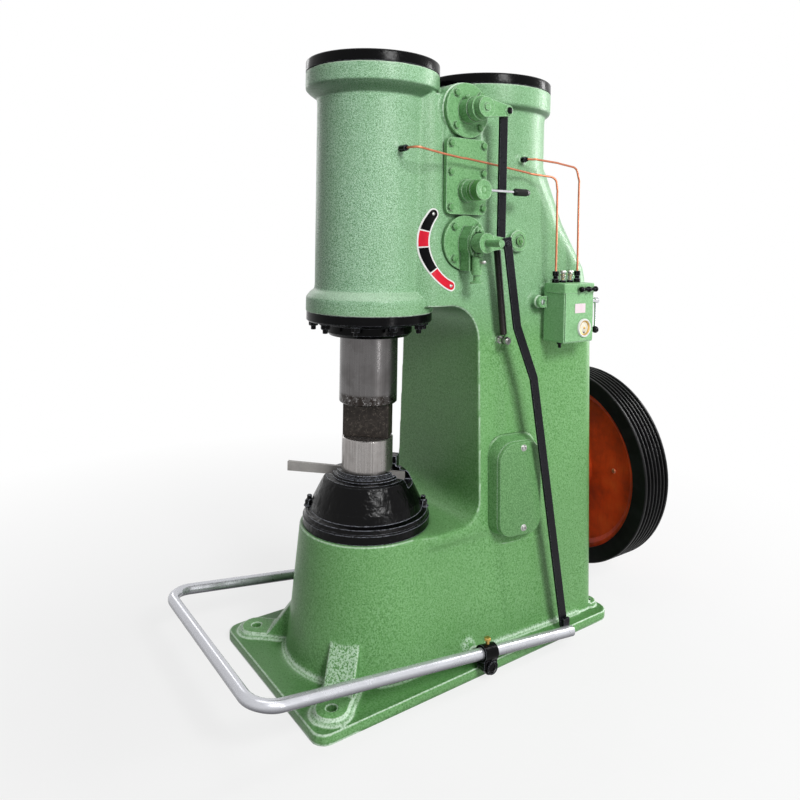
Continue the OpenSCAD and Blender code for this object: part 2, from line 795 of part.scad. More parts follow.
// Split clamp that hangs the tube over the cross shaft
module treadle_clamp(side) {
    eye_r = shaft_r + 11;
    top_r = tube_r + 8;
    tube_z = treadle_height(shaft_y);
    w = 52;
    half = 17;
    color(black) difference() {
        union() {
            x_cyl(eye_r, side * treadle_x - half, side * treadle_x + half, shaft_y, shaft_z);
            translate([side * treadle_x - half, shaft_y - w / 2, shaft_z])
                cube([2 * half, w, tube_z - shaft_z + 12]);
            translate([side * treadle_x, shaft_y, tube_z]) rotate([-90 - treadle_slope, 0, 0])
                cylinder(r = top_r, h = w, center = true);
        }
        x_cyl(shaft_r + run_fit, side * treadle_x - 30, side * treadle_x + 30, shaft_y, shaft_z);
        translate([side * treadle_x, shaft_y, tube_z]) rotate([-90 - treadle_slope, 0, 0])
            cylinder(r = tube_r + seat_gap, h = 90, center = true);
    }
}

module clamp_right() treadle_clamp(1);
module clamp_left() treadle_clamp(-1);

// Bent flat bar from the treadle's rear end up to the lower valve lever
module treadle_strap() {
    foot = [strap_foot.x, strap_foot.y, strap_foot_z - 13];
    bend_low = [strap_foot.x, 446, 815];
    bend_high = [drive_x, 367, 1066];
    top = strap_top + [0, 0, 15];
    color(black) difference() {
        union() {
            flat_bar(foot, bend_low, strap_w, strap_t);
            flat_bar(bend_low, bend_high, strap_w, strap_t);
            flat_bar(bend_high, top, strap_w, strap_t);
            // bolt head that covers the pivot at the lever
            x_cyl(9, drive_x, drive_x + strap_t / 2 + 5, strap_top.y, strap_top.z);
        }
        x_cyl(6 + run_fit, strap_foot.x - 10, strap_foot.x + 10, strap_foot.y, strap_foot_z);
    }
}

// Lug on the control arm, with the pin that carries the strap
module treadle_pin() {
    plate_x = strap_foot.x + strap_t / 2 + 1.5;
    color("#55565A") difference() {
        union() {
            x_cyl(6, strap_foot.x - strap_t / 2 - 1, plate_x + 5, strap_foot.y, strap_foot_z);
            x_cyl(10, strap_foot.x - strap_t / 2 - 7, strap_foot.x - strap_t / 2 - side_gap,
                  strap_foot.y, strap_foot_z, $fn = 6);
            translate([plate_x, strap_foot.y - 14, strap_foot_z - 24]) cube([9, 28, 37]);
        }
        translate([treadle_x, strap_foot.y, treadle_height(strap_foot.y)])
            rotate([-90 - treadle_slope, 0, 0])
                cylinder(r = tube_r + seat_gap, h = 80, center = true);
    }
}

// ------------------------------------------------------------ flywheel

module flywheel_rim() {
    pitch = (wheel_w - 16) / groove_count;
    inner = wheel_r - 58;
    color(black) translate([0, wheel_y, wheel_z]) rotate([-90, 0, 0]) rotate_extrude($fn = 96)
        polygon([[inner, 0], [wheel_r - 3, 0], [wheel_r, 3],
                 for (i = [0 : groove_count - 1])
                     let (y = 8 + i * pitch)
                     each [[wheel_r, y + pitch * 0.12],
                           [wheel_r - groove_depth, y + pitch * 0.34],
                           [wheel_r - groove_depth, y + pitch * 0.66],
                           [wheel_r, y + pitch * 0.88]],
                 [wheel_r, wheel_w - 3], [wheel_r - 3, wheel_w], [inner, wheel_w]]);
}

module flywheel_web() {
    rim_in = wheel_r - 58;
    face = 26;
    web_t = 24;
    hub_r = 92;
    bore = crank_r;
    color("#C8461B") translate([0, wheel_y, wheel_z]) rotate([-90, 0, 0]) rotate_extrude($fn = 96)
        polygon([[bore, -4], [hub_r, -4], [hub_r + 6, face - 8], [hub_r + 22, face],
                 [rim_in - 30, face], [rim_in - 14, face - 14], [rim_in, face - 16],
                 [rim_in, wheel_w - face], [rim_in - 14, wheel_w - face],
                 [rim_in - 30, face + web_t], [hub_r + 22, face + web_t],
                 [hub_r, wheel_w - 8], [bore, wheel_w - 8]]);
}

module crankshaft() {
    y0 = column_back - 100;
    color(steel) {
        y_cyl(crank_r - run_fit, y0, wheel_y + wheel_w + 4, 0, wheel_z);
        y_cyl(crank_r + 14, wheel_y + wheel_w - 8, wheel_y + wheel_w + 4, 0, wheel_z);
    }
}

module bearing_housing() {
    y0 = back_pad_y;
    y1 = wheel_y - 4 - 12;
    color(green) translate([0, 0, wheel_z]) rotate([-90, 0, 0]) rotate_extrude()
        polygon([[crank_r, y0], [bearing_r + 34, y0], [bearing_r + 34, y0 + 22],
                 [bearing_r + 8, y0 + 28], [bearing_r, y0 + 38], [bearing_r, y1 - 14],
                 [bearing_r - 10, y1], [crank_r, y1]]);
}

// ------------------------------------------------- covers on the side wall

// Puts its children on the side wall, with Z out of the wall
module side_cover_place() {
    y = side_cover_at.x;
    z = side_cover_at.y;
    turn = atan((wall_at(y + 60, z) - wall_at(y - 60, z)) / 120);
    lean = atan((wall_at(y, z - 100) - wall_at(y, z + 100)) / 200);
    translate([wall_at(y, z) + 5, y, z]) rotate([0, -lean, -turn]) rotate([90, 0, 90]) children();
}

// Inspection cover of the crank chamber
module side_cover() {
    edge = 3;
    color(green) side_cover_place() {
        linear_extrude(10) round_rect(side_cover_w, side_cover_h, 24);
        translate([0, 0, 10]) linear_extrude(edge)
            round_rect(side_cover_w - 2 * edge, side_cover_h - 2 * edge, 22);
    }
}

// --------------------------------------------------------- lubricator

module lub_box() {
    edge = 4;
    y0 = lub_y - lub_w / 2;
    color(green) {
        translate([lub_back_x, lub_y, lub_z]) rotate([90, 0, 90]) {
            linear_extrude(lub_d - edge) round_rect(lub_w, lub_h, 5);
            translate([0, 0, lub_d - edge]) linear_extrude(edge)
                round_rect(lub_w - 2 * edge, lub_h - 2 * edge, 3);
        }
        // lug of the box, screwed to the wall
        x_cyl(19, lub_back_x, lub_back_x + 12, y0 - 20, lub_z + 34);
        translate([lub_back_x, y0 - 20, lub_z + 15]) cube([12, 22, 38]);
    }
}

// Two glass drip sights on the box
module lub_sights() {
    color("#C9D2CF") for (y = sight_y) translate([lub_row_x, y, lub_top_z]) {
        cylinder(r = 11, h = 8, $fn = 6);
        translate([0, 0, 8]) cylinder(r = 8, h = 28);
        translate([0, 0, 36]) cylinder(r = 10, h = 6);
    }
}

module lub_unions() {
    color(black) for (y = union_y) translate([lub_row_x, y, lub_top_z]) {
        cylinder(r = 12, h = 14, $fn = 6);
        translate([0, 0, 14]) cylinder(r = 8, h = 10);
        translate([0, 0, 24]) cylinder(r = 11, h = 16, $fn = 6);
    }
}

module lub_wing_screw() {
    y = lub_y + 26;
    z = lub_top_z - 17;
    x = lub_back_x + lub_d;
    color(black) {
        x_cyl(5, x, x + 12, y, z);
        y_cyl(5, y - 34, y + 34, x + 15, z);
        for (dy = [-34, 0, 34]) translate([x + 15, y + dy, z]) sphere(9.5, $fn = 24);
    }
}

module lub_gauge() {
    y = lub_y + 22;
    z = lub_z - 50;
    x = lub_back_x + lub_d;
    color("#D6C9A0") difference() {
        x_cyl(29, x, x + 7, y, z);
        x_cyl(23, x + 4, x + 8, y, z);
    }
}

module lub_drain() {
    z = lub_z - lub_h / 2;
    color(black) translate([lub_back_x + 42, lub_y - 38, z - 22]) {
        translate([0, 0, 12]) cylinder(r = 9, h = 10, $fn = 6);
        cylinder(r = 5, h = 13);
    }
}

crank_x = lub_back_x + 82;
crank_z = lub_z + 38;
crank_y = lub_y + lub_w / 2;
crank_reach = 99;

module lub_crank() {
    arm_y = crank_y + 22;
    ball_r = 12;
    rod_r = 5;
    color("#B9B7B0") {
        y_cyl(6, crank_y + side_gap, arm_y + 6, crank_x, crank_z);
        y_cyl(10, arm_y - 6, arm_y + 6, crank_x, crank_z);
        translate([crank_x, arm_y, crank_z - crank_reach]) rotate_extrude($fn = 32)
            polygon([for (a = [-90 : 15 : 60]) ball_r * [abs(a) == 90 ? 0 : cos(a), sin(a)],
                     [rod_r, ball_r], [rod_r, crank_reach - 3], [0, crank_reach - 3]]);
    }
}

// ----------------------------------------------------------- feed pipes

module pipe_union(at, x_len) {
    color(black) {
        x_cyl(10, at.x, at.x + x_len, at.y, at.z, $fn = 6);
        x_cyl(7, at.x + x_len, at.x + x_len + 6, at.y, at.z);
    }
}

pipe_x = 245;

module front_union() pipe_union(front_union_at, 30);
module rear_union() pipe_union(rear_union_at, 16);

module front_pipe() {
    start = front_union_at + [36 + seat_gap, 0, 0];
    top_z = 1560;
    color("#B5673F") sweep(rounded_path([
        start, start + [34, 0, 0], [pipe_x, 180, 1590], [pipe_x - 4, 470, top_z],
        [lub_row_x, union_y[0], top_z - 12], [lub_row_x, union_y[0], lub_top_z + 40]
    ], 22, 5), pipe_r, 10);
}

module rear_pipe() {
    start = rear_union_at + [22 + 3, 0, 0];
    color("#B5673F") sweep(rounded_path([
        start, start + [16, 20, 0], [lub_row_x - 4, 560, 1600],
        [lub_row_x, union_y[1], 1580], [lub_row_x, union_y[1], lub_top_z + 40]
    ], 22, 5), pipe_r, 10);
}

// ------------------------------------------------------------- drawing

frame_casting();
front_cap();
rear_cap();
gland();
sow_block();
lower_die();
wedge_key();
ram();
upper_die();
top_valve_cover();
start_cover();
low_valve_cover();
drain_stub();
drain_cock();
plug_boss();
upper_lever();
lower_lever();
link_strap();
return_spring();
spring_stud();
start_hub();
start_rod();
start_grip();
treadle_tube();
treadle_shaft();
clamp_right();
clamp_left();
treadle_strap();
treadle_pin();
flywheel_rim();
flywheel_web();
crankshaft();
bearing_housing();
side_cover();
lub_box();
lub_sights();
lub_unions();
lub_wing_screw();
lub_gauge();
lub_drain();
lub_crank();
front_union();
rear_union();
front_pipe();
rear_pipe();
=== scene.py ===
import math

import bmesh
import bpy
import numpy as np
from mathutils import Matrix, Vector
from mathutils.bvhtree import BVHTree


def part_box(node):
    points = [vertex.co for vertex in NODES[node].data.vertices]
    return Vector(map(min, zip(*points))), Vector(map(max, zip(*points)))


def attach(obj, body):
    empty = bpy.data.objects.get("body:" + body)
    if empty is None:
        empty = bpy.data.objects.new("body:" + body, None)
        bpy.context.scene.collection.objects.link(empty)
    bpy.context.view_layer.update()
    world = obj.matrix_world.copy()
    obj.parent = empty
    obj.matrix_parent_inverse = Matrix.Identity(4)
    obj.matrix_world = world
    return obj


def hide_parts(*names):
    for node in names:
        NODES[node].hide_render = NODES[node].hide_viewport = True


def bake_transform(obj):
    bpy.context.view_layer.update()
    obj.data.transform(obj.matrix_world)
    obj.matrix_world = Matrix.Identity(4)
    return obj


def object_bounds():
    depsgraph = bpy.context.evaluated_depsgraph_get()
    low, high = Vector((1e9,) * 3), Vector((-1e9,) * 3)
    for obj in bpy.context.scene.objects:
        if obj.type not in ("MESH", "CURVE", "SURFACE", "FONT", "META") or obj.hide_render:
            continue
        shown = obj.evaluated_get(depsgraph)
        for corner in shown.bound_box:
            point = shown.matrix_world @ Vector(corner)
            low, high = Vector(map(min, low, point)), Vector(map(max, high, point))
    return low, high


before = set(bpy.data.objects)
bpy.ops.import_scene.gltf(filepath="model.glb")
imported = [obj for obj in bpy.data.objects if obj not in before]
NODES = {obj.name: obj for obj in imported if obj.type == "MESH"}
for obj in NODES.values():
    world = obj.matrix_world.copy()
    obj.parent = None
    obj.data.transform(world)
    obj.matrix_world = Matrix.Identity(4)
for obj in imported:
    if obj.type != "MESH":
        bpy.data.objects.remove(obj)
CAD_BOX = [list(c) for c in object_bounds()]
MM = 0.001
X, Y, Z = Vector((1, 0, 0)), Vector((0, 1, 0)), Vector((0, 0, 1))

# Places of part.scad, in millimetres
VALVE_Y = 220
LEVEL_TOP, LEVEL_LOW = 1744, 1330
LEVER_ARM = 96
SEAT_X = 211.5
SHAFT_Y = 222
WHEEL_Z = 444


# ---------------------------------------------------------------- materials

def rgb(r, g, b):
    """8-bit screen colour as linear RGBA."""
    def lin(v):
        v /= 255
        return v / 12.92 if v <= 0.04045 else ((v + 0.055) / 1.055) ** 2.4
    return (lin(r), lin(g), lin(b), 1.0)


class Nodes:
    """Short way to write a node material."""

    def __init__(self, name):
        self.material = bpy.data.materials.new(name)
        self.material.use_nodes = True
        self.tree = self.material.node_tree
        self.shader = self.tree.nodes["Principled BSDF"]
        self.place = self.add("ShaderNodeTexCoord").outputs["Object"]

    def add(self, kind, **settings):
        node = self.tree.nodes.new(kind)
        for key, value in settings.items():
            setattr(node, key, value)
        return node

    def fill(self, kind, **values):
        """A node whose sockets have these values."""
        node = self.add(kind)
        for key, value in values.items():
            node.inputs[key.replace("_", " ")].default_value = value
        return node

    def link(self, a, b):
        self.tree.links.new(a, b)

    def stretched(self, scale):
        node = self.fill("ShaderNodeMapping", Scale=scale)
        self.link(self.place, node.inputs["Vector"])
        return node.outputs["Vector"]

    def split(self, vector):
        node = self.add("ShaderNodeSeparateXYZ")
        self.link(vector, node.inputs["Vector"])
        return node.outputs

    def lean(self):
        """The upward part of the surface's normal."""
        return self.split(self.add("ShaderNodeNewGeometry").outputs["Normal"])["Z"]

    def noise(self, scale, detail=4.0, rough=0.55, vector=None, warp=0.0):
        node = self.fill("ShaderNodeTexNoise", Scale=scale, Detail=detail, Roughness=rough, Distortion=warp)
        self.link(vector or self.place, node.inputs["Vector"])
        return node.outputs["Fac"]

    def cells(self, scale):
        node = self.fill("ShaderNodeTexVoronoi", Scale=scale)
        self.link(self.place, node.inputs["Vector"])
        return node.outputs["Distance"]

    def ramp(self, value, *stops):
        node = self.add("ShaderNodeValToRGB")
        ends = node.color_ramp.elements
        while len(ends) < len(stops):
            ends.new(0.5)
        for end, (at, colour) in zip(ends, stops):
            end.position = at
            end.color = colour if len(colour) == 4 else (*colour, 1.0)
        self.link(value, node.inputs["Fac"])
        return node.outputs["Color"]

    def spread(self, value, low, high, start=0.0, end=1.0):
        """low up to start, high from end."""
        node = self.fill("ShaderNodeMapRange", From_Min=start, From_Max=end, To_Min=low, To_Max=high)
        self.link(value, node.inputs["Value"])
        return node.outputs["Result"]

    def above(self, value, start, end):
        return self.spread(value, 0.0, 1.0, start, end)

    def below(self, value, start, end):
        return self.spread(value, 1.0, 0.0, start, end)

    def within(self, value, low, full, fade, high):
        """0 up to low and from high, 1 from full to fade."""
        return self.times(self.above(value, low, full), self.below(value, fade, high))

    def math(self, operation, a, b):
        node = self.add("ShaderNodeMath", operation=operation)
        self.link(a, node.inputs[0])
        self.link(b, node.inputs[1])
        return node.outputs[0]

    def times(self, value, *others):
        for other in others:
            value = self.math("MULTIPLY", value, other)
        return value

    def maximum(self, a, b):
        return self.math("MAXIMUM", a, b)

    def mix(self, share, a, b):
        node = self.add("ShaderNodeMix", data_type="RGBA")
        self.link(share, node.inputs["Factor"])
        for socket, value in ((node.inputs[6], a), (node.inputs[7], b)):
            if isinstance(value, tuple):
                socket.default_value = value
            else:
                self.link(value, socket)
        return node.outputs[2]

    def veil(self, base, other, noise, most, start, end):
        """base, and up to most of other where the noise goes from start to end."""
        return self.mix(self.spread(noise, 0.0, most, start, end), base, other)

    def edges(self, radius):
        """1 along edges, where the rounded normal leaves the true one, and 0 on flats."""
        bevel = self.add("ShaderNodeBevel", samples=6)
        bevel.inputs["Radius"].default_value = radius
        true = self.add("ShaderNodeNewGeometry").outputs["Normal"]
        dot = self.add("ShaderNodeVectorMath", operation="DOT_PRODUCT")
        self.link(bevel.outputs["Normal"], dot.inputs[0])
        self.link(true, dot.inputs[1])
        return self.below(dot.outputs["Value"], 0.90, 0.985)

    def painted_crevice_shade(self, reach, most):
        """Painted shade: darkening by ambient occlusion in corners and round bolt heads, 0 on open faces."""
        node = self.add("ShaderNodeAmbientOcclusion", samples=8)
        node.inputs["Distance"].default_value = reach
        return self.spread(node.outputs["AO"], most, 0.0, 0.30, 0.78)

    def bump(self, *layers, soft=0.0):
        """layers are (height, strength, depth in metres); soft is the radius that edges are rounded to."""
        normal = None
        if soft:
            node = self.add("ShaderNodeBevel", samples=4)
            node.inputs["Radius"].default_value = soft
            normal = node.outputs["Normal"]
        for height, strength, depth in layers:
            node = self.fill("ShaderNodeBump", Strength=strength, Distance=depth)
            self.link(height, node.inputs["Height"])
            if normal:
                self.link(normal, node.inputs["Normal"])
            normal = node.outputs["Normal"]
        self.link(normal, self.shader.inputs["Normal"])

    def set(self, **values):
        for key, value in values.items():
            self.shader.inputs[key.replace("_", " ")].default_value = value

    def surface(self, colour, rough, **values):
        """Colour and roughness from nodes, and the shader's constants."""
        self.link(colour, self.shader.inputs["Base Color"])
        self.link(rough, self.shader.inputs["Roughness"])
        self.set(**values)


def cast_tone(m, flecks, base, deep, fleck, blot, broad, grime_and_shade):
    """Colour of the casting: cooler and livelier on top with painted sparkle on the front cylinder, painted
    sheen with dust at its foot, painted shade under flanges and in corners, and painted highlight on its
    edges with some wear.
    """
    place = m.split(m.place)
    height, lean = place["Z"], m.lean()
    # the upper half is cooler, and its flecks stand out on the front cylinder, where the pale flecks are
    # painted sparkle, a painted highlight over the enamel's real dark flecks
    upper = m.above(height, 1.0, 1.16)
    front = m.times(upper, m.spread(place["Y"], 1.0, 0.15, -0.13, 0.16))
    dots = m.noise(430.0, 1.0, 0.5)
    calm = m.maximum(m.spread(upper, 0.55, 0.25), m.spread(broad, 0.0, 0.3, 0.3, 0.7))
    tone = m.mix(calm, flecks, base)
    cool = m.ramp(dots, (0.36, rgb(78, 124, 80)), (0.47, rgb(116, 162, 116)), (0.62, rgb(158, 200, 162)))
    tone = m.mix(m.spread(upper, 0.0, 0.8), tone, m.mix(calm, cool, rgb(118, 164, 118)))
    fine = m.ramp(dots, (0.36, rgb(50, 96, 56)), (0.45, rgb(122, 172, 128)), (0.62, rgb(196, 228, 204)))
    coarse = m.ramp(fleck, (0.36, rgb(62, 108, 66)), (0.46, rgb(128, 177, 134)), (0.62, rgb(198, 228, 204)))
    painted_sparkle = m.mix(m.spread(broad, 0.3, 0.7, 0.35, 0.65), fine, coarse)
    tone = m.mix(m.times(front, m.spread(broad, 0.62, 0.95, 0.3, 0.6)), tone, painted_sparkle)
    # the upward slopes near the base are pale, painted sheen of light mixed with dust, and its flat top is
    # dark
    dust_and_sheen = m.times(m.within(height, 0.034, 0.040, 0.16, 0.24), m.within(lean, 0.25, 0.5, 0.93, 0.985),
                    m.above(blot, 0.42, 0.54), m.spread(broad, 0.6, 0.85))
    flat = m.times(m.below(height, 0.034, 0.040), m.spread(lean, 0.0, 0.5, 0.9, 0.99))
    tone = m.mix(flat, tone, deep)
    tone = m.mix(dust_and_sheen, tone, rgb(198, 222, 200))
    # painted shade under the flanges, and painted shade in corners by ambient occlusion
    painted_under_shade = m.times(m.spread(lean, 0.7, 0.0, -0.55, -0.12), m.above(height, 1.08, 1.12))
    tone = m.mix(painted_under_shade, tone, rgb(44, 78, 46))
    tone = m.mix(m.painted_crevice_shade(0.022, 0.85), tone, grime_and_shade)
    # pale on edges, along the base's rim and foot, and on the lower flange's upper rim: painted highlight
    # where light catches them, with some paint rubbed off on the edges
    sharp = m.add("ShaderNodeNewGeometry").outputs["Pointiness"]
    wear_and_highlight = m.times(m.spread(sharp, 0.0, 0.9, 0.524, 0.545), m.spread(blot, 0.7, 1.0, 0.35, 0.5))
    lines = m.maximum(m.within(height, 0.019, 0.022, 0.034, 0.037),
                      m.within(height, 0.0365, 0.039, 0.050, 0.056))
    lines = m.times(lines, m.within(lean, 0.42, 0.58, 0.90, 0.96), m.spread(blot, 0.45, 0.95, 0.38, 0.5))
    ledge_highlight = m.times(m.within(height, 1.12, 1.13, 1.18, 1.2), m.spread(lean, 0.0, 0.4, 0.35, 0.6), front)
    return m.mix(m.maximum(m.maximum(wear_and_highlight, lines), ledge_highlight), tone, rgb(206, 230, 206))


def hammertone(name, base, pale, deep, contrast=1.0, cast=False):
    """Hammer-finish enamel: dark and pale flecks over a base. cast is for the dense mesh of the casting."""
    m = Nodes(name)
    fleck = m.noise(330.0, 1.5, 0.5)
    blot = m.noise(190.0, 2.0, 0.5, warp=0.5)
    broad = m.noise(4.0, 4.0)
    flecks = m.mix(m.spread(broad, 0.25, 0.75, 0.35, 0.65),
                   m.ramp(fleck, (0.36, deep), (0.47, base), (0.62, pale)),
                   m.ramp(blot, (0.36, deep), (0.48, base), (0.60, pale)))
    # darkest tone of the enamel, used as painted shade in corners
    grime_and_shade = tuple(v * 0.28 for v in deep[:3]) + (1.0,)
    if cast:
        tone = cast_tone(m, flecks, base, deep, fleck, blot, broad, grime_and_shade)
    else:
        tone = m.mix(m.spread(broad, 1.0 - contrast, 1.0 - contrast * 0.72, 0.3, 0.75), flecks, base)
        # painted shade in corners and round bolt heads
        tone = m.mix(m.painted_crevice_shade(0.013, 0.97), tone, grime_and_shade)
        # pale edges: painted highlight, with some wear
        wear_and_highlight = m.times(m.edges(0.0021), m.spread(blot, 0.6, 0.95, 0.35, 0.55))
        tone = m.mix(wear_and_highlight, tone, rgb(202, 232, 202))
    m.surface(tone, m.spread(blot, 0.26, 0.50, 0.3, 0.7), Specular_IOR_Level=0.3)
    m.bump((fleck, 0.3, 0.0006), (blot, 0.4, 0.0010), (broad, 0.25, 0.006), soft=0.0 if cast else 0.0012)
    return m.material


def gloss_paint(name, base, pale, rough, wave, dust, shine, dents=0.0, soft=0.0015, edge=0.0, edge_highlight_radius=0.0018):
    """Brushed-on enamel with slight runs, dust, small dents, and pale edges that are painted highlight with
    some chips.
    """
    m = Nodes(name)
    broad = m.noise(9.0, 5.0)
    fine = m.noise(160.0, 4.0, 0.65)
    tone = m.veil(base, pale, broad, dust, 0.45, 0.8)
    tone = m.veil(tone, pale, fine, dust * 0.6, 0.5, 0.85)
    # pale edges: painted highlight where light catches them, with some chips
    if edge:
        tone = m.mix(m.times(m.edges(edge_highlight_radius), m.spread(fine, 0.0, edge, 0.35, 0.55)), tone, rgb(186, 190, 202))
    m.surface(tone, m.spread(fine, rough - 0.08, rough + 0.16, 0.3, 0.7), Specular_IOR_Level=shine)
    layers = [(broad, wave, 0.006), (fine, wave * 0.7, 0.0009)]
    if dents:
        layers.append((m.noise(42.0, 3.0, 0.6, warp=0.6), dents, 0.004))
        layers.append((m.ramp(m.cells(34.0), (0.0, (0, 0, 0)), (0.22, (1, 1, 1))), dents * 0.6, 0.002))
    m.bump(*layers, soft=soft)
    return m.material


LINES = {"z": (620, 620, 3), "x": (3, 620, 620), "y": (620, 3, 620)}


def turned_steel(name, base, dark, pale, axis, rough, metallic=1.0, stain=0.5, wear_and_highlight=None, pits=0.0,
                 grain=0.35, edge=0.0, painted_under_shade=None):
    """Machined steel: fine lines along the axis, oil stains, pits, a worn band, and a painted shade that
    darkens the underside.
    """
    m = Nodes(name)
    lines = m.noise(1.0, 3.0, 0.6, m.stretched(LINES[axis]))
    stains = m.noise(14.0, 6.0, 0.6)
    spots = m.noise(70.0, 4.0, 0.7)
    tone = m.mix(m.spread(lines, -grain, grain, 0.3, 0.7), base, pale)
    tone = m.mix(m.spread(lines, grain, -grain, 0.3, 0.7), tone, dark)
    tone = m.veil(tone, dark, stains, stain, 0.48, 0.72)
    tone = m.veil(tone, dark, spots, stain * 0.6, 0.58, 0.75)
    if wear_and_highlight:
        low, high, colour = wear_and_highlight
        band = m.below(m.split(m.place)["Z"], low, high)
        scars = m.noise(110.0, 5.0, 0.7, warp=1.2)
        tone = m.mix(m.times(band, m.spread(spots, 0.45, 1.0, 0.35, 0.55)), tone, colour)
        tone = m.mix(m.times(band, m.spread(scars, 0.0, 0.85, 0.56, 0.64)), tone, pale)
    # painted shade: faces that look downwards are darker
    if painted_under_shade:
        tone = m.mix(m.below(m.lean(), -0.6, 0.4), tone, painted_under_shade)
    if edge:
        tone = m.mix(m.times(m.edges(0.0022), m.spread(spots, 0.2, edge, 0.4, 0.6)), tone, pale)
    m.surface(tone, m.spread(stains, rough, rough + 0.22, 0.3, 0.75), Metallic=metallic)
    m.bump((lines, min(0.08, 0.4 * grain), 0.0003),
           (spots, 0.02 + 0.12 * stain + pits, 0.0005 + 0.004 * pits), soft=0.0012)
    return m.material


def pulley_iron(name, base, pale):
    """Satin black cast iron with turned rings and a little grime."""
    m = Nodes(name)
    rings = m.noise(1.0, 2.0, 0.5, m.stretched((3, 420, 3)))
    grime_and_shade = m.noise(24.0, 6.0, 0.6)
    m.surface(m.veil(base, pale, grime_and_shade, 0.4, 0.45, 0.75), m.spread(rings, 0.30, 0.5), Specular_IOR_Level=0.15)
    m.bump((rings, 0.05, 0.0005), (grime_and_shade, 0.06, 0.0008), soft=0.0015)
    return m.material


def primer(name, base, deep, dust_and_sheen):
    """Matt orange primer with brush marks, dust and darker patches."""
    m = Nodes(name)
    patches = m.noise(7.0, 6.0, 0.6)
    grain = m.noise(210.0, 4.0, 0.6)
    brush = m.noise(1.0, 3.0, 0.6, m.stretched((60, 4, 18)))
    tone = m.ramp(patches, (0.3, deep), (0.55, base), (0.8, dust_and_sheen))
    m.surface(m.veil(tone, deep, brush, 0.35, 0.5, 0.8), m.spread(grain, 0.42, 0.62), Specular_IOR_Level=0.3)
    m.bump((grain, 0.2, 0.0007), (brush, 0.2, 0.0012), (patches, 0.25, 0.004), soft=0.002)
    return m.material


def plated(name, base, dark, rough, metallic=1.0):
    """Plated metal with haze and faint scratches."""
    m = Nodes(name)
    haze = m.noise(35.0, 5.0, 0.6)
    scratch = m.noise(1.0, 2.0, 0.6, m.stretched((300, 300, 40)))
    m.surface(m.veil(base, dark, haze, 0.6, 0.4, 0.8), m.spread(haze, rough, rough + 0.2), Metallic=metallic)
    m.bump((scratch, 0.12, 0.0004), soft=0.0006)
    return m.material


def plastic(name, base, pale, rough):
    """Moulded plastic with a fine grain."""
    m = Nodes(name)
    grain = m.noise(420.0, 3.0, 0.6)
    haze = m.noise(22.0, 4.0)
    m.surface(m.veil(base, pale, haze, 0.5, 0.45, 0.8), m.spread(grain, rough - 0.06, rough + 0.12),
              Specular_IOR_Level=0.2)
    m.bump((grain, 0.2, 0.0003), soft=0.001)
    return m.material


def glass(name):
    """Clear sight glass with a slight haze."""
    m = Nodes(name)
    haze = m.noise(60.0, 4.0)
    m.surface(m.ramp(haze, (0.3, (0.86, 0.92, 0.90)), (0.7, (0.94, 0.97, 0.96))), m.spread(haze, 0.02, 0.10),
              Transmission_Weight=0.9, IOR=1.45)
    m.bump((haze, 0.05, 0.0004))
    return m.material


def plate_paint(name, base, dark, shine=0.2):
    """Printed sheet-metal plate, slightly mottled."""
    m = Nodes(name)
    haze = m.noise(60.0, 4.0)
    m.surface(m.veil(base, dark, haze, 0.5, 0.45, 0.8), m.spread(haze, 0.25, 0.42), Specular_IOR_Level=shine)
    m.bump((haze, 0.06, 0.0005))
    return m.material


GREEN = hammertone("casting_enamel", rgb(102, 158, 90), rgb(160, 206, 156), rgb(50, 98, 44), cast=True)
COVER = hammertone("cover_enamel", rgb(106, 158, 102), rgb(158, 206, 158), rgb(60, 108, 58), 0.55)
PANEL = hammertone("panel_enamel", rgb(94, 143, 86), rgb(140, 190, 134), rgb(56, 102, 52), 0.55)
# darker copy of the cover enamel for bolt heads: painted shade
BOLT_SHADE = hammertone("bolt_enamel_painted_shade", rgb(84, 138, 80), rgb(150, 200, 146), rgb(44, 86, 42), 0.4)
# darker copy of the cover enamel for hubs and the plug: painted shade
HUB_SHADE = hammertone("hub_enamel_painted_shade", rgb(76, 132, 66), rgb(116, 170, 104), rgb(46, 92, 42), 0.5)
LUBE = hammertone("oiler_enamel", rgb(128, 180, 126), rgb(172, 218, 170), rgb(88, 140, 84), 0.4)
BLACK = gloss_paint("black_enamel", rgb(6, 6, 7), rgb(20, 20, 23), 0.14, 0.3, 0.2, 0.07, edge=0.5)
# the sow block's broad pale edges are painted highlight
SOW = gloss_paint("sow_enamel", rgb(3, 3, 4), rgb(16, 16, 18), 0.1, 0.5, 0.15, 0.12, dents=0.9, soft=0.003,
                  edge=0.9, edge_highlight_radius=0.004)
STRAP = gloss_paint("strap_enamel", rgb(13, 13, 18), rgb(38, 37, 46), 0.3, 0.12, 0.25, 0.13, edge=0.3)
SPRING = gloss_paint("spring_wire", rgb(24, 19, 18), rgb(64, 54, 50), 0.3, 0.1, 0.3, 0.3, soft=0.0)
RAM = turned_steel("ram_steel", rgb(100, 98, 98), rgb(54, 50, 48), rgb(176, 174, 174), "z", 0.18,
                   metallic=0.9, stain=0.4, wear_and_highlight=(0.843, 0.851, rgb(46, 41, 38)), grain=0.14)
UPPER = turned_steel("upper_die_steel", rgb(74, 67, 61), rgb(18, 15, 13), rgb(104, 96, 88), "x", 0.42, 0.5,
                     stain=1.0, wear_and_highlight=(9.0, 10.0, rgb(36, 31, 27)), pits=0.6, grain=0.15, edge=0.9)
LOWER = turned_steel("lower_die_steel", rgb(150, 146, 144), rgb(70, 64, 60), rgb(212, 210, 208), "z", 0.2,
                     metallic=0.9, grain=0.45, edge=0.5)
SHAFT = turned_steel("shaft_steel", rgb(150, 148, 146), rgb(84, 80, 76), rgb(200, 200, 200), "y", 0.25)
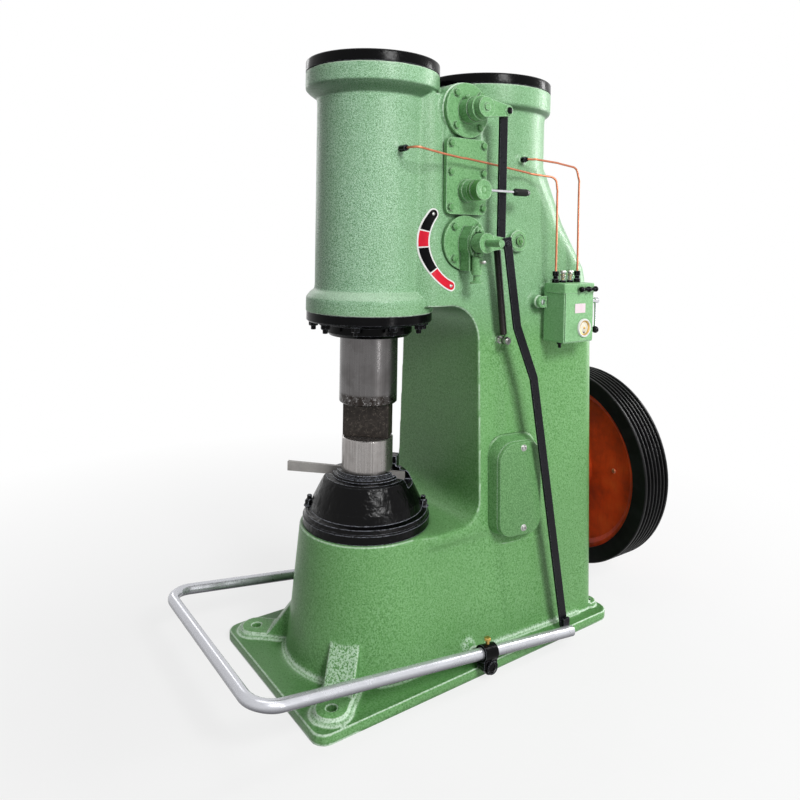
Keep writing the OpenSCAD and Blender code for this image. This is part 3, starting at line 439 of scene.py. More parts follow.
KEY = turned_steel("key_steel", rgb(166, 163, 160), rgb(128, 124, 120), rgb(196, 194, 192), "x", 0.5,
                   metallic=0.4, stain=0.3)
# the foot tube's underside is darkened: painted shade
TUBE = turned_steel("tube_paint", rgb(204, 205, 211), rgb(186, 187, 193), rgb(222, 223, 228), "y", 0.16,
                    metallic=0.6, stain=0.0, grain=0.03, painted_under_shade=rgb(54, 54, 62))
ZINC = plated("zinc_plate", rgb(196, 196, 194), rgb(120, 118, 114), 0.24)
CHROME = plated("chrome", rgb(224, 224, 228), rgb(170, 170, 176), 0.08)
BRASS = plated("brass", rgb(206, 170, 98), rgb(138, 104, 52), 0.24)
COPPER = plated("copper", rgb(206, 128, 96), rgb(138, 76, 52), 0.28, 0.8)
GRIP = plastic("grip_plastic", rgb(9, 9, 10), rgb(28, 28, 30), 0.3)
BALL = plastic("ball_plastic", rgb(6, 6, 7), rgb(22, 22, 24), 0.14)
PULLEY = pulley_iron("pulley_iron", rgb(9, 9, 10), rgb(34, 34, 36))
ORANGE = primer("web_primer", rgb(212, 66, 16), rgb(134, 38, 10), rgb(226, 92, 36))
GLASS = glass("sight_glass")
WHITE = plate_paint("plate_white", rgb(232, 232, 230), rgb(190, 190, 186))
RED = plate_paint("plate_red", rgb(214, 30, 52), rgb(168, 22, 40))
INK = plate_paint("plate_black", rgb(7, 7, 9), rgb(18, 18, 20), 0.05)
LABEL = plate_paint("label_pale", rgb(232, 214, 220), rgb(206, 184, 192))
DIAL = plate_paint("dial_cream", rgb(236, 232, 216), rgb(196, 182, 140))
# near-black inside of the tube's open ends: painted shade
BORE_SHADE = plate_paint("bore_painted_shade", rgb(16, 16, 17), rgb(34, 33, 33))

LOOKS = {
    GREEN: ["bearing_housing"],
    COVER: ["top_valve_cover", "start_cover", "low_valve_cover", "upper_lever", "lower_lever", "drain_stub"],
    LUBE: ["lub_box"],
    # the knob's hub takes the darker hub enamel: painted shade
    HUB_SHADE: ["start_hub"],
    BLACK: ["gland", "clamp_right", "clamp_left", "lub_unions", "lub_wing_screw", "lub_drain", "front_union",
            "rear_union", "treadle_shaft"],
    SOW: ["sow_block"],
    STRAP: ["link_strap", "treadle_strap", "treadle_pin"],
    RAM: ["ram"],
    LOWER: ["lower_die"],
    UPPER: ["upper_die"],
    KEY: ["wedge_key"],
    SHAFT: ["crankshaft"],
    ZINC: ["drain_cock", "spring_stud"],
    CHROME: ["start_rod"],
    GRIP: ["start_grip"],
    PULLEY: ["flywheel_rim"],
    ORANGE: ["flywheel_web"],
}


def dress(obj, material):
    obj.data.materials.clear()
    obj.data.materials.append(material)


for material, names in LOOKS.items():
    for name in names:
        node = NODES[name]
        if node.material_slots:
            for place in node.material_slots:
                place.material = material
        else:
            node.data.materials.append(material)


# ------------------------------------------------------------- mesh helpers

def linked(name, data):
    """New object in the scene."""
    obj = bpy.data.objects.new(name, data)
    bpy.context.scene.collection.objects.link(obj)
    return obj


def baked(obj):
    """The object's mesh with its modifiers applied, as a new mesh."""
    graph = bpy.context.evaluated_depsgraph_get()
    graph.update()
    return bpy.data.meshes.new_from_object(obj.evaluated_get(graph))


def shade(mesh, angle):
    mesh.shade_smooth()
    mesh.set_sharp_from_angle(angle=math.radians(angle))


def register(obj, body, replaces):
    """Body and replaced nodes of a piece, where it has them."""
    if body:
        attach(obj, body)
    if replaces:
        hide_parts(*replaces)


class Shape:
    """Collects parts of one mesh, in millimetres, in the row frame."""

    def __init__(self):
        self.points, self.faces, self.looks = [], [], []

    def add(self, points, faces, look=0):
        start = len(self.points)
        self.points += [Vector(p) for p in points]
        self.faces += [tuple(start + i for i in f) for f in faces]
        self.looks += [look] * len(faces)

    def turn(self, at, axis, profile, n=32, start=0.0, look=0):
        """Profile of (radius, height) turned about axis through at. It closes at radius 0."""
        axis = Vector(axis).normalized()
        side, other = across(axis)
        at = Vector(at)
        points, rows, faces = [], [], []
        for r, h in profile:
            if r < 1e-6:
                rows.append([len(points)] * n)
                points.append(at + axis * h)
                continue
            rows.append(list(range(len(points), len(points) + n)))
            for k in range(n):
                a = 2 * math.pi * k / n + start
                points.append(at + axis * h + (side * math.cos(a) + other * math.sin(a)) * r)
        for low, high in zip(rows, rows[1:]):
            for k in range(n):
                j = (k + 1) % n
                face = list(dict.fromkeys([low[k], low[j], high[j], high[k]]))
                if len(face) > 2:
                    faces.append(face)
        self.add(points, faces, look)

    def hex_bolt(self, at, axis, flats=19, head=12, washer=0, start=0.0, look=0, stub=0):
        """Hexagon head with a chamfered top, a washer face and an optional stub of thread."""
        r = flats / math.sqrt(3)
        base = washer
        if washer:
            w = flats * 0.62 + 2
            self.turn(at, axis, [(0, 0), (w, 0), (w, washer - 0.6), (w - 0.6, washer), (0, washer)],
                      28, 0, look)
        top = base + head
        self.turn(at, axis, [(0, base), (r * 0.9, base), (r, base + 0.8), (r, top - head * 0.16),
                             (r * 0.86, top - head * 0.03), (r * 0.8, top), (0, top)], 6, start, look)
        if stub:
            s = flats * 0.31
            end = top + stub
            self.turn(at, axis, [(s, top - 0.2), (s, end - 1.5), (s - 1.5, end), (0, end)], 20, 0, look)

    def socket_bolt(self, at, axis, r, head):
        """Round head with a hexagon socket."""
        self.turn(at, axis, [(0, 0), (r, 0), (r, head - 1), (r - 1, head), (r * 0.6, head)], 24)
        self.turn(at, axis, [(r * 0.6, head), (r * 0.55, head * 0.4), (0, head * 0.4)], 6)

    def rings(self, rows, look=0, close=True):
        """Skin over rows of equal length, with a lid on the first and the last."""
        n = len(rows[0])
        faces = []
        for i in range(len(rows) - 1):
            for k in range(n):
                j = (k + 1) % n
                faces.append([i * n + k, i * n + j, (i + 1) * n + j, (i + 1) * n + k])
        if close:
            faces.append(list(range(n))[::-1])
            faces.append([(len(rows) - 1) * n + k for k in range(n)])
        self.add([p for row in rows for p in row], faces, look)

    def tube(self, path, r, sides, shape=None, close=True):
        """Round wire along a path. shape(i, direction) scales the radius at point i."""
        path = [Vector(p) for p in path]
        n = len(path)
        side = across((path[1] - path[0]).normalized())[0]
        rows = []
        for i, p in enumerate(path):
            t = (path[min(i + 1, n - 1)] - path[max(i - 1, 0)]).normalized()
            side = (side - t * side.dot(t)).normalized()
            other = t.cross(side)
            row = []
            for k in range(sides):
                a = 2 * math.pi * k / sides
                out = side * math.cos(a) + other * math.sin(a)
                row.append(p + out * (r * (shape(i, out) if shape else 1.0)))
            rows.append(row)
        self.rings(rows, 0, close)

    def build(self, name, body, *materials, slot=None, replaces=(), angle=38):
        mesh = bpy.data.meshes.new(name)
        mesh.from_pydata([p * MM for p in self.points], [], self.faces)
        bm = bmesh.new()
        bm.from_mesh(mesh)
        bmesh.ops.recalc_face_normals(bm, faces=bm.faces)
        bm.to_mesh(mesh)
        bm.free()
        for material in materials:
            mesh.materials.append(material)
        mesh.polygons.foreach_set("material_index", self.looks)
        shade(mesh, angle)
        obj = linked(name, mesh)
        register(obj, body, replaces)
        return obj


def across(axis):
    """Two unit vectors square to axis."""
    side = axis.cross(Z if abs(axis.z) < 0.9 else Y).normalized()
    return side, axis.cross(side)


def rounded_rect(w, h, r, n=6):
    """Corner points of a rectangle with rounded corners, about the origin."""
    out = []
    for cx, cy, a0 in ((1, 1, 0), (-1, 1, 90), (-1, -1, 180), (1, -1, 270)):
        for k in range(n + 1):
            a = math.radians(a0 + 90 * k / n)
            out.append((cx * (w / 2 - r) + r * math.cos(a), cy * (h / 2 - r) + r * math.sin(a)))
    return out


def rounded(points, r, n):
    """Points of a path whose corners are rounded with radius r."""
    points = [Vector(p) for p in points]
    out = [points[0]]
    for a, b, c in zip(points, points[1:], points[2:]):
        u, v = (a - b).normalized(), (c - b).normalized()
        if u.dot(v) < -0.999:
            out.append(b)
            continue
        half = math.acos(max(-1.0, min(1.0, u.dot(v)))) / 2
        reach = min(r / math.tan(half), (a - b).length * 0.48, (c - b).length * 0.48)
        radius = reach * math.tan(half)
        centre = b + (u + v).normalized() * (radius / math.sin(half))
        s, e = b + u * reach - centre, b + v * reach - centre
        turn = math.acos(max(-1.0, min(1.0, s.dot(e) / s.length / e.length)))
        for k in range(n + 1):
            t = k / n
            out.append(centre + (s * math.sin((1 - t) * turn) + e * math.sin(t * turn)) / math.sin(turn))
    out.append(points[-1])
    return out


def divided(path, length):
    """The path with its long stretches cut into steps of about this length."""
    out = [path[0]]
    for a, b in zip(path, path[1:]):
        steps = max(1, int((b - a).length / length))
        out += [a.lerp(b, (k + 1) / steps) for k in range(steps)]
    return out


def box_mm(node):
    lo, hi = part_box(node)
    return Vector(lo) / MM, Vector(hi) / MM


def middle(node):
    lo, hi = box_mm(node)
    return (lo + hi) / 2


def ring(centre, axis, r, count, start=0.0):
    """Places round a circle, each with its angle."""
    side, other = across(Vector(axis).normalized())
    for k in range(count):
        a = math.radians(start) + 2 * math.pi * k / count
        yield Vector(centre) + (side * math.cos(a) + other * math.sin(a)) * r, a


def plane(marks):
    """a, b and c of the plane x = a * y + b * z + c through marks of (y, z, x)."""
    return np.linalg.lstsq([(y, z, 1) for y, z, x in marks], [x for y, z, x in marks], rcond=None)[0]


# ------------------------------------------------------------------ casting

VOXEL = 0.0041
MOST_TRIANGLES = 188000
ANCHORS = [(x, y) for x in (-0.253, 0.253) for y in (-0.264, 0.787)]
# passes of smoothing for thin features, open corners and the rest
THIN_PASSES, CORNER_PASSES, PLAIN_PASSES = 8, 84, 34


def column(items, key, width, kind=float):
    """One property of every item, as rows of width numbers."""
    out = np.empty(len(items) * width, kind)
    items.foreach_get(key, out)
    return out.reshape(-1, width)


def voxel_mesh(node):
    """The node's mesh, remeshed densely and evenly."""
    mesh = NODES[node].data.copy()
    bm = bmesh.new()
    bm.from_mesh(mesh)
    bmesh.ops.remove_doubles(bm, verts=bm.verts, dist=1e-5)
    bm.to_mesh(mesh)
    bm.free()
    work = linked("casting_work", mesh)
    remesh = work.modifiers.new("voxel", "REMESH")
    remesh.mode = "VOXEL"
    remesh.voxel_size = VOXEL
    remesh.adaptivity = 0.0
    dense = baked(work)
    bpy.data.objects.remove(work)
    return dense


def soft_casting():
    """The casting with the fillets and soft edges of a sand casting."""
    soft = voxel_mesh("frame_casting")
    co = column(soft.vertices, "co", 3)
    count = len(co)
    a, b = column(soft.edges, "vertices", 2, int).T
    degree = np.bincount(np.r_[a, b], minlength=count)[:, None]
    quads = column(soft.loops, "vertex_index", 1, int).reshape(-1, 4)

    def laplace(p):
        total = np.stack([np.bincount(a, p[b, k], count) + np.bincount(b, p[a, k], count)
                          for k in range(3)], 1)
        return total / degree - p

    def normals(p):
        n = np.cross(p[quads[:, 2]] - p[quads[:, 0]], p[quads[:, 3]] - p[quads[:, 1]])
        out = np.zeros_like(p)
        for k in range(4):
            for axis in range(3):
                out[:, axis] += np.bincount(quads[:, k], n[:, axis], count)
        return out / np.maximum(np.linalg.norm(out, axis=1), 1e-12)[:, None]

    x, y, z = co.T.copy()
    # machined seats keep their edges; open cast corners take the largest fillets
    seat = (x > 0.17) & (np.abs(y - VALVE_Y * MM) < 0.11) & (z > 1.22)
    bore = (np.hypot(x, y) < 0.125) & (z > 1.09)
    plug_seat = (x > 0.2) & (np.hypot(y - 0.436, z - 1.337) < 0.05)
    pad = np.any([np.hypot(x - px, y - py) < 0.075 for px, py in ANCHORS], 0) & (z < 0.06)
    lower_flange = (z > 1.095) & (z < 1.18) & (np.hypot(x, y) > 0.17) & (y < 0.17)
    thin = pad | (z > 1.77) | lower_flange
    hold = np.where(seat | bore | plug_seat, 0.15, np.where(thin, 0.45, 1.0))[:, None]
    rib = (y < -0.1) & (np.abs(x) > 0.13) & (z > 0.03) & (z < 0.2)
    foot = (z > 0.03) & (z < 0.1) & ~rib & ~pad
    throat = (y > 0.1) & (y < 0.42) & (z > 0.4) & (z < 1.77) & (np.abs(x) < 0.21)
    passes = np.where(thin | rib, THIN_PASSES, np.where(foot | throat, CORNER_PASSES, PLAIN_PASSES))
    # the shoulder where the pedestal runs into the column is faired both ways
    inside = (y - 0.03, 0.40 - y, z - 0.33, 0.47 - z, np.abs(x) - 0.16)
    fair = np.prod([np.clip(v / 0.03, 0, 1) for v in inside], 0)
    for i in range(3):
        co += 0.5 * hold * laplace(co)
        co -= 0.5 * hold * laplace(co) * 0.6
    for i in range(CORNER_PASSES):
        step = laplace(co)
        n = normals(co) if i % 5 == 0 else n
        inward = np.einsum("ij,ij->i", step, n)[:, None]
        keep = 1 - fair[:, None] if i < PLAIN_PASSES else 1.0
        step = np.where(inward > 0, step, step - inward * n * keep)
        co += 0.5 * hold * np.clip(passes - i, 0, 1)[:, None] * step
    for i in range(2):
        co += 0.5 * hold * laplace(co)
    co[:, 2] = np.where(z < 0.004, 0.0, np.maximum(co[:, 2], 0.0))
    # the seat of the inspection cover goes back to the plane of the wall round it
    marks = [(cy, cz, x[(np.hypot(y - cy, z - cz) < 0.006) & (x > 0.15)].max())
             for cy in (0.335, 0.530) for cz in (0.345, 0.705)]
    by_y, by_z, at = plane(marks)
    boss = (y > 0.34) & (y < 0.525) & (z > 0.35) & (z < 0.70) & (x > 0.15)
    co[:, 0] = np.where(boss, np.minimum(co[:, 0], by_y * co[:, 1] + by_z * co[:, 2] + at), co[:, 0])
    co = np.clip(co, np.array(CAD_BOX[0]), np.array(CAD_BOX[1]))
    soft.vertices.foreach_set("co", co.ravel())
    soft.update()
    obj = linked("casting", soft)
    fewer = obj.modifiers.new("fewer", "DECIMATE")
    fewer.ratio = min(1.0, MOST_TRIANGLES / (2 * len(soft.polygons)))
    final = baked(obj)
    obj.modifiers.clear()
    obj.data = final
    dress(obj, GREEN)
    shade(final, 60)
    register(obj, "frame", ("frame_casting",))
    return obj


CASTING = soft_casting()
SKIN = BVHTree.FromPolygons([v.co for v in CASTING.data.vertices],
                            [tuple(p.vertices) for p in CASTING.data.polygons])


def wall(y, z):
    """Where the casting's right side is at (y, z), in millimetres."""
    hit = SKIN.ray_cast(Vector((1.0, y * MM, z * MM)), Vector((-1, 0, 0)))[0]
    return hit.x / MM


# --------------------------------------------------------- caps and gland

def cap(node, name, start):
    """Cylinder head with ten counterbored screws."""
    lo, hi = box_mm(node)
    centre = Vector(((lo.x + hi.x) / 2, (lo.y + hi.y) / 2, lo.z))
    r, h = (hi.x - lo.x) / 2, hi.z - lo.z
    body = Shape()
    body.turn(centre, Z, [(0, 0), (r, 0), (r, h - 6), (r - 1, h - 3), (r - 4, h - 0.5), (r - 7, h),
                          (r * 0.62, h), (r * 0.6, h - 2), (0, h - 2)], 128)
    obj = body.build(name, None, BLACK)
    cut, screws = Shape(), Shape()
    for p, _ in ring(centre + Z * (h - 15), Z, r - 26, 10, start):
        cut.turn(p, Z, [(0, 0), (13, 0), (13, 30), (0, 30)], 28)
        screws.socket_bolt(p, Z, 10.5, 13)
    tool = cut.build("cutter", None, BLACK)
    hole = obj.modifiers.new("hole", "BOOLEAN")
    hole.operation, hole.object, hole.solver = "DIFFERENCE", tool, "EXACT"
    mesh = baked(obj)
    obj.modifiers.clear()
    obj.data = mesh
    bpy.data.objects.remove(tool)
    shade(mesh, 34)
    register(obj, "frame", (node,))
    screws.build(name + "_screws", "frame", BLACK, slot="black_paint")


cap("front_cap", "front_head", 12)
cap("rear_cap", "rear_head", 0)


def flange_nuts():
    """Nuts under the gland, and studs and nuts that hold the sow block's collar down."""
    s = Shape()
    for p, a in ring((0, 0, box_mm("gland")[1].z - 30), -Z, 178, 10, 9):
        s.hex_bolt(p, -Z, 26, 15, 3, a, 0, 12)
    s.build("gland_nuts", "frame", BLACK, slot="black_paint")
    s = Shape()
    z = box_mm("sow_block")[0].z + 44
    for a in (56, 146, 236):
        t = math.radians(a)
        s.hex_bolt((184 * math.cos(t), 184 * math.sin(t), z), Z, 26, 18, 3, 0.3, 0, 14)
    s.build("collar_nuts", "frame", SOW, slot="black_paint")


flange_nuts()


# ------------------------------------------------------------ valve details

def oval(wide, tall, n=48):
    """Two-eared flange outline."""
    out = []
    for k in range(n):
        a = 2 * math.pi * k / n
        r = 1 / math.hypot(math.cos(a) / wide, math.sin(a) / tall)
        r = max(min(wide / max(abs(math.cos(a)), 1e-3), r), wide)
        out.append((r * math.cos(a), r * math.sin(a)))
    return out


def valve_bolts():
    """Bolts of the valve covers, and the two-nut follower of the lower stuffing box."""
    s = Shape()
    for node, z in (("top_valve_cover", LEVEL_TOP), ("low_valve_cover", LEVEL_LOW)):
        y = middle(node).y
        for dy in (-48, 48):
            for dz in (-50, 50):
                s.hex_bolt((SEAT_X, y + dy, z + dz), X, 19.5, 10, 1.5, 0.3 + dy * 0.01 + dz * 0.02)
    lo, hi = box_mm("start_cover")
    y = (lo.y + hi.y) / 2
    for z in (lo.z + 22, (lo.z + hi.z) / 2 + 13, hi.z - 18):
        for dy in (-66, 66):
            s.hex_bolt((SEAT_X, y + dy, z), X, 19.5, 10, 1.5, 0.4 + z * 0.01)
    # the bolt heads take the darker bolt enamel: painted shade
    s.build("valve_bolts", "frame", BOLT_SHADE, slot="fitting_green")
    s = Shape()
    s.rings([[(x, y + k * a, LEVEL_LOW + k * b) for a, b in oval(27, 49)]
             for x, k in ((257, 1), (264, 1), (266, 0.96))])
    for dz in (-37, 37):
        s.hex_bolt((265.5, y + dz * 0.06, LEVEL_LOW + dz), X, 19, 10, 1, 0.2, 0, 9)
    s.build("gland_follower", "frame", COVER, slot="fitting_green")
    s = Shape()
    aim = Vector((0, -0.45, 0.89)).normalized()
    s.socket_bolt(Vector((230, y, LEVEL_TOP)) + aim * 39, aim, 8, 9)
    s.build("hub_screw", "frame", COVER, slot="fitting_green")


valve_bolts()


def lever_details():
    """Pin end and centre marks of the levers, and the face of the start knob."""
    tip = box_mm("upper_lever")[1].x
    s = Shape()
    s.turn((tip - 5.4, VALVE_Y + LEVER_ARM, LEVEL_TOP), X,
           [(0, 0), (10.4, 0), (10.4, 1.4), (9.6, 2.0), (0, 2.0)], 28, 0, 1)
    s.turn((299.8, VALVE_Y, LEVEL_TOP), X, [(16, 0), (16, 0.8), (14.5, 1.2), (13, 0.8), (12.4, 0)], 40)
    # the centre mark takes the darker hub enamel: painted shade
    s.turn((tip, VALVE_Y, LEVEL_TOP), X, [(3, -0.2), (2, 0.4), (0, -0.6)], 16, 0, 2)
    s.build("upper_lever_marks", "upper_lever", COVER, INK, HUB_SHADE, slot="fitting_green")
    s = Shape()
    s.turn((box_mm("lower_lever")[1].x, VALVE_Y, LEVEL_LOW), X,
           [(6, -0.2), (5.5, 0.3), (1.5, 0.3), (1, -0.4), (0, -0.4)], 24)
    s.build("lower_lever_marks", "lower_lever", COVER, slot="fitting_green")
    s = Shape()
    s.turn((box_mm("start_hub")[1].x, VALVE_Y, middle("start_hub").z), X,
           [(31, -0.3), (30, 0.5), (12, 0.5), (11, -0.2), (9, -0.2), (8, 0.5), (0, 0.5)], 48)
    s.build("knob_face", "start_handle", COVER, slot="fitting_green")


lever_details()


def plug():
    """Recessed plug on the side wall."""
    x = box_mm("plug_boss")[0].x
    y, z = middle("plug_boss").yz
    s = Shape()
    s.turn((x - 1, y, z), X, [(0, 0), (34, 0), (34, 3.5), (32.5, 5), (24, 5), (22, 2), (0, 2)], 56)
    # the plug's body and hexagon take the darker hub enamel: painted shade of the recess
    s.turn((x, y, z), X, [(0, 0), (15, 0), (15, 9), (13, 10), (0, 10)], 28, 0, 1)
    s.hex_bolt((x + 10, y, z), X, 14, 6, 0, 0.5, 1)
    s.build("wall_plug", "frame", COVER, HUB_SHADE, slot="fitting_green", replaces=("plug_boss",))


plug()


def wound_spring():
    """Closely wound return spring with a hook at each end."""
    a, b = Vector((250, VALVE_Y + LEVER_ARM, LEVEL_LOW)), Vector((250, 357, 1016))
    u = (b - a).normalized()
    v = X.cross(u)
    wire, coil, core, eye = 1.7, 10.2, 9.4, 10.6
    turns, per_turn, hook_steps, hook_turn = 74, 13, 22, 290
    low = 20
    length = (b - a).length - 2 * low

    def hook(centre, first):
        for k in range(hook_steps):
            t = math.radians(first + hook_turn * k / (hook_steps - 1))
            yield centre + (u * math.cos(t) + v * math.sin(t)) * eye

    path = list(hook(a, -hook_turn))
    for k in range(turns * per_turn + 1):
        t = 2 * math.pi * k / per_turn
        reach = low + length * k / turns / per_turn
        path.append(a + u * reach + (v * math.cos(t) + X * math.sin(t)) * coil)
    path += hook(b, 180)
    s = Shape()
    s.tube(path, wire, 6)
    s.turn(a + u * low, u, [(0, 0), (core, 0), (core, length), (0, length)], 16)
    obj = s.build("coil_spring", None, SPRING, slot="spring_dark", replaces=("return_spring",), angle=60)
    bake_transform(obj)


wound_spring()


# -------------------------------------------------------------- index plate

PLATE_R = 145
PLATE_HALF = 17


def sector(s, first, last, half, lift, look, ends):
    """Arc plate on the wall about the lower valve, from first to last degree; ends says which are round."""
    degree = math.degrees(half / PLATE_R)
    steps = max(2, round((last - first) / 1.2))
    stations = [(first + (last - first) * k / steps, half) for k in range(steps + 1)]
    for at, side, is_round in ((first, -1, ends[0]), (last, 1, ends[1])):
        if is_round:
            extra = [(at + side * degree * math.sin(t), half * math.cos(t))
                     for t in (math.radians(v) for v in (15, 30, 45, 60, 72, 82, 88))]
            stations = extra[::-1] + stations if side < 0 else stations + extra
    rows = []
    for a, h in stations:
        a = math.radians(a)
        top, bottom = [], []
        for k in range(7):
            q = PLATE_R - h + 2 * h * k / 6
            y, z = VALVE_Y + q * math.cos(a), LEVEL_LOW + q * math.sin(a)
            x = wall(y, z)
            top.append(Vector((x + lift, y, z)))
            bottom.append(Vector((x - 0.6, y, z)))
        rows.append(top + bottom[::-1])
    s.rings(rows, look)


def index_plate():
    """Bare indicator arc: white border, black and red fields, a rivet at each end."""
    bounds = [143, 166, 186, 217, 249]
    last_field = len(bounds) - 2
    gap = 0.8
    s = Shape()
    sector(s, bounds[0], bounds[-1], PLATE_HALF, 1.6, 0, (True, True))
    for k, (a, b) in enumerate(zip(bounds, bounds[1:])):
        sector(s, a + (gap if k else 0), b - (gap if k < last_field else 0), PLATE_HALF - 4.4, 1.95,
               1 + k % 2, (k == 0, k == last_field))
    for a in (bounds[0], bounds[-1]):
        t = math.radians(a)
        y, z = VALVE_Y + PLATE_R * math.cos(t), LEVEL_LOW + PLATE_R * math.sin(t)
        s.turn((wall(y, z) + 1.6, y, z), X, [(0, 0), (5.5, 0), (5, 1.6), (3, 2.6), (0, 3)], 20, 0, 3)
    s.build("index_plate", "frame", WHITE, INK, RED, ZINC, slot="tube_silver", angle=50)


index_plate()


# --------------------------------------------------------------- lubricator

SIGHTS_Y = (584, 620)


def lid_and_label():
    """Lid round the top of the oil box, and a bare label on its front."""
    hi = box_mm("lub_box")[1]
    front, back, middle_y = hi.x, 262, 602
    s = Shape()
    s.rings([[((back + front) / 2 + a, middle_y + b, level)
              for a, b in rounded_rect(front - back + 2 * grow, 142 + 2 * grow, 5)]
             for level, grow in ((hi.z - 31, 0.2), (hi.z - 30, 1.8), (hi.z + 0.2, 1.8), (hi.z + 1.4, 0.6))])
    s.build("lub_lid", "frame", LUBE, slot="fitting_green")
    s = Shape()
    s.rings([[(front + lift, 605 + a, 1118 + b) for a, b in rounded_rect(w, h, r)]
             for lift, w, h, r in ((-0.2, 51, 31, 1.5), (0.6, 51, 31, 1.5), (1.0, 50.2, 30.2, 1.1))])
    s.build("lub_label", "frame", LABEL, slot="tube_silver")


def gauge():
    """Round oil gauge with a brass ring, a plain dial and a screw in its middle."""
    g = Vector((box_mm("lub_box")[1].x - 0.3, 624, 1052))
    s = Shape()
    s.turn(g, X, [(31, 0), (31, 5), (29.5, 7), (26, 7), (25, 5.8), (24.8, 2)], 56)
    s.turn(g, X, [(25, 1.6), (25, 5.0), (23, 5.6), (20.6, 4.6), (20, 2)], 48, 0, 3)
    s.turn(g, X, [(20.2, 1.6), (14, 2.0), (13, 2.6), (6, 2.8), (5, 3.4), (0, 3.6)], 40, 0, 1)
    s.turn(g + Z * -15, X, [(3, 2.0), (2.6, 3.4), (0, 3.6)], 16, 0, 2)
    s.turn(g, X, [(5, 2.4), (5, 4.6), (3.6, 5.6), (0, 5.8)], 6, 0, 3)
    s.build("oil_gauge", "frame", WHITE, DIAL, INK, BRASS, slot="brass", replaces=("lub_gauge",))


def drip_sights():
    """Two drip sights: a body with a needle, and a glass round it."""
    low = box_mm("lub_sights")[0].z
    x = middle("lub_sights").x
    for k, y in enumerate(SIGHTS_Y):
        at = (x, y, low)
        s = Shape()
        s.turn(at, Z, [(0, 0), (12, 0), (12, 7), (10.5, 8.5), (9, 8.5), (9, 10), (0, 10)], 6)
        s.turn(at, Z, [(10.5, 36), (10.5, 40), (9, 42), (0, 42)], 24, 0, 1)
        s.turn(at, Z, [(2.6, 9), (2.6, 22), (4.4, 24), (4.4, 30), (2, 33), (2, 37), (0, 37)], 16, 0, 2)
        s.turn(at, Z, [(10.5, 35.9), (9, 35.2), (0, 35.2)], 24, 0, 1)
        s.build(f"sight_body_{k + 1}", "frame", BLACK, ZINC, BRASS, slot="brass")
        s = Shape()
        for profile in ([(9, 9.5), (9, 35.6)], [(7.6, 35.6), (7.6, 9.5)], [(9, 9.5), (7.6, 9.5)],
                        [(9, 35.6), (7.6, 35.6)]):
            s.turn(at, Z, profile, 28)
        s.build(f"sight_glass_{k + 1}", "frame", GLASS, slot="sight_glass",
                replaces=() if k else ("lub_sights",))


def lug_and_crank():
    """Screw of the box's lug, and the hand crank with its ball."""
    lug = Vector((box_mm("lub_box")[0].x + 12, 511, 1136))
    s = Shape()
    s.turn(lug, X, [(0, -8), (20, -8), (20, 0), (18.5, 2), (11, 2), (10, 0.5), (0, 0.5)], 40)
    s.turn(lug, X, [(8, 0), (8, 4), (6.5, 5.5), (2.5, 5.5), (2, 4.5), (0, 4.5)], 24, 0, 1)
    s.build("lub_lug", "frame", COVER, CHROME, slot="fitting_green")
    crank = Vector((339.3, 673.5, 1140))
    arm = Vector((339.3, 695, 1140))
    ball = [(12 * math.cos(math.radians(a)), 12 * math.sin(math.radians(a))) for a in range(-80, 61, 10)]
    s = Shape()
    s.turn(crank, Y, [(6, 0), (6, 12), (10, 15.5), (11, 17), (11, 26), (9, 28), (0, 28)], 28)
    s.turn(arm, -Z, [(5.6, 6), (4.6, 40), (4.6, 84), (6.6, 87)], 20)
    s.turn(arm + Z * -99, Z, [(0, -12), *ball, (5.2, 11.6), (4, 11.6)], 32, 0, 1)
    s.build("oiler_handle", "oiler_crank", CHROME, BALL, slot="bright_steel", replaces=("lub_crank",))


def pipes():
    """Oil pipes with the slight waves of hand-bent copper."""
    row = 289
    runs = {
        "front_pipe": [(216.5, -14, 1608), (262, -14, 1607), (252, 90, 1597), (246, 180, 1590),
                       (242, 330, 1575), (241, 470, 1562), (row - 6, 546, 1552), (row, 549, 1500),
                       (row, 549, 1370), (row, 549, 1236)],
        "rear_pipe": [(240, 456, 1608), (258, 474, 1607), (row - 6, 560, 1600), (row - 2, 640, 1590),
                      (row, 655, 1540), (row, 655, 1400), (row, 655, 1236)],
    }
    for name, points in runs.items():
        path = divided(rounded(points, 26, 9), 14)
        wavy = []
        for k, p in enumerate(path):
            # no waves within eight points of the ends
            share = min(k, len(path) - 1 - k, 8) / 8
            wavy.append(p + Vector((0.8 * math.sin(k * 0.21), 0, 1.3 * math.sin(k * 0.17 + 1))) * share)
        s = Shape()
        s.tube(wavy, 3.5, 12)
        s.build(name + "_bent", "frame", COPPER, slot="copper_pipe", replaces=(name,))


lid_and_label()
gauge()
drip_sights()
lug_and_crank()
pipes()


# ------------------------------------------------------------------ treadle

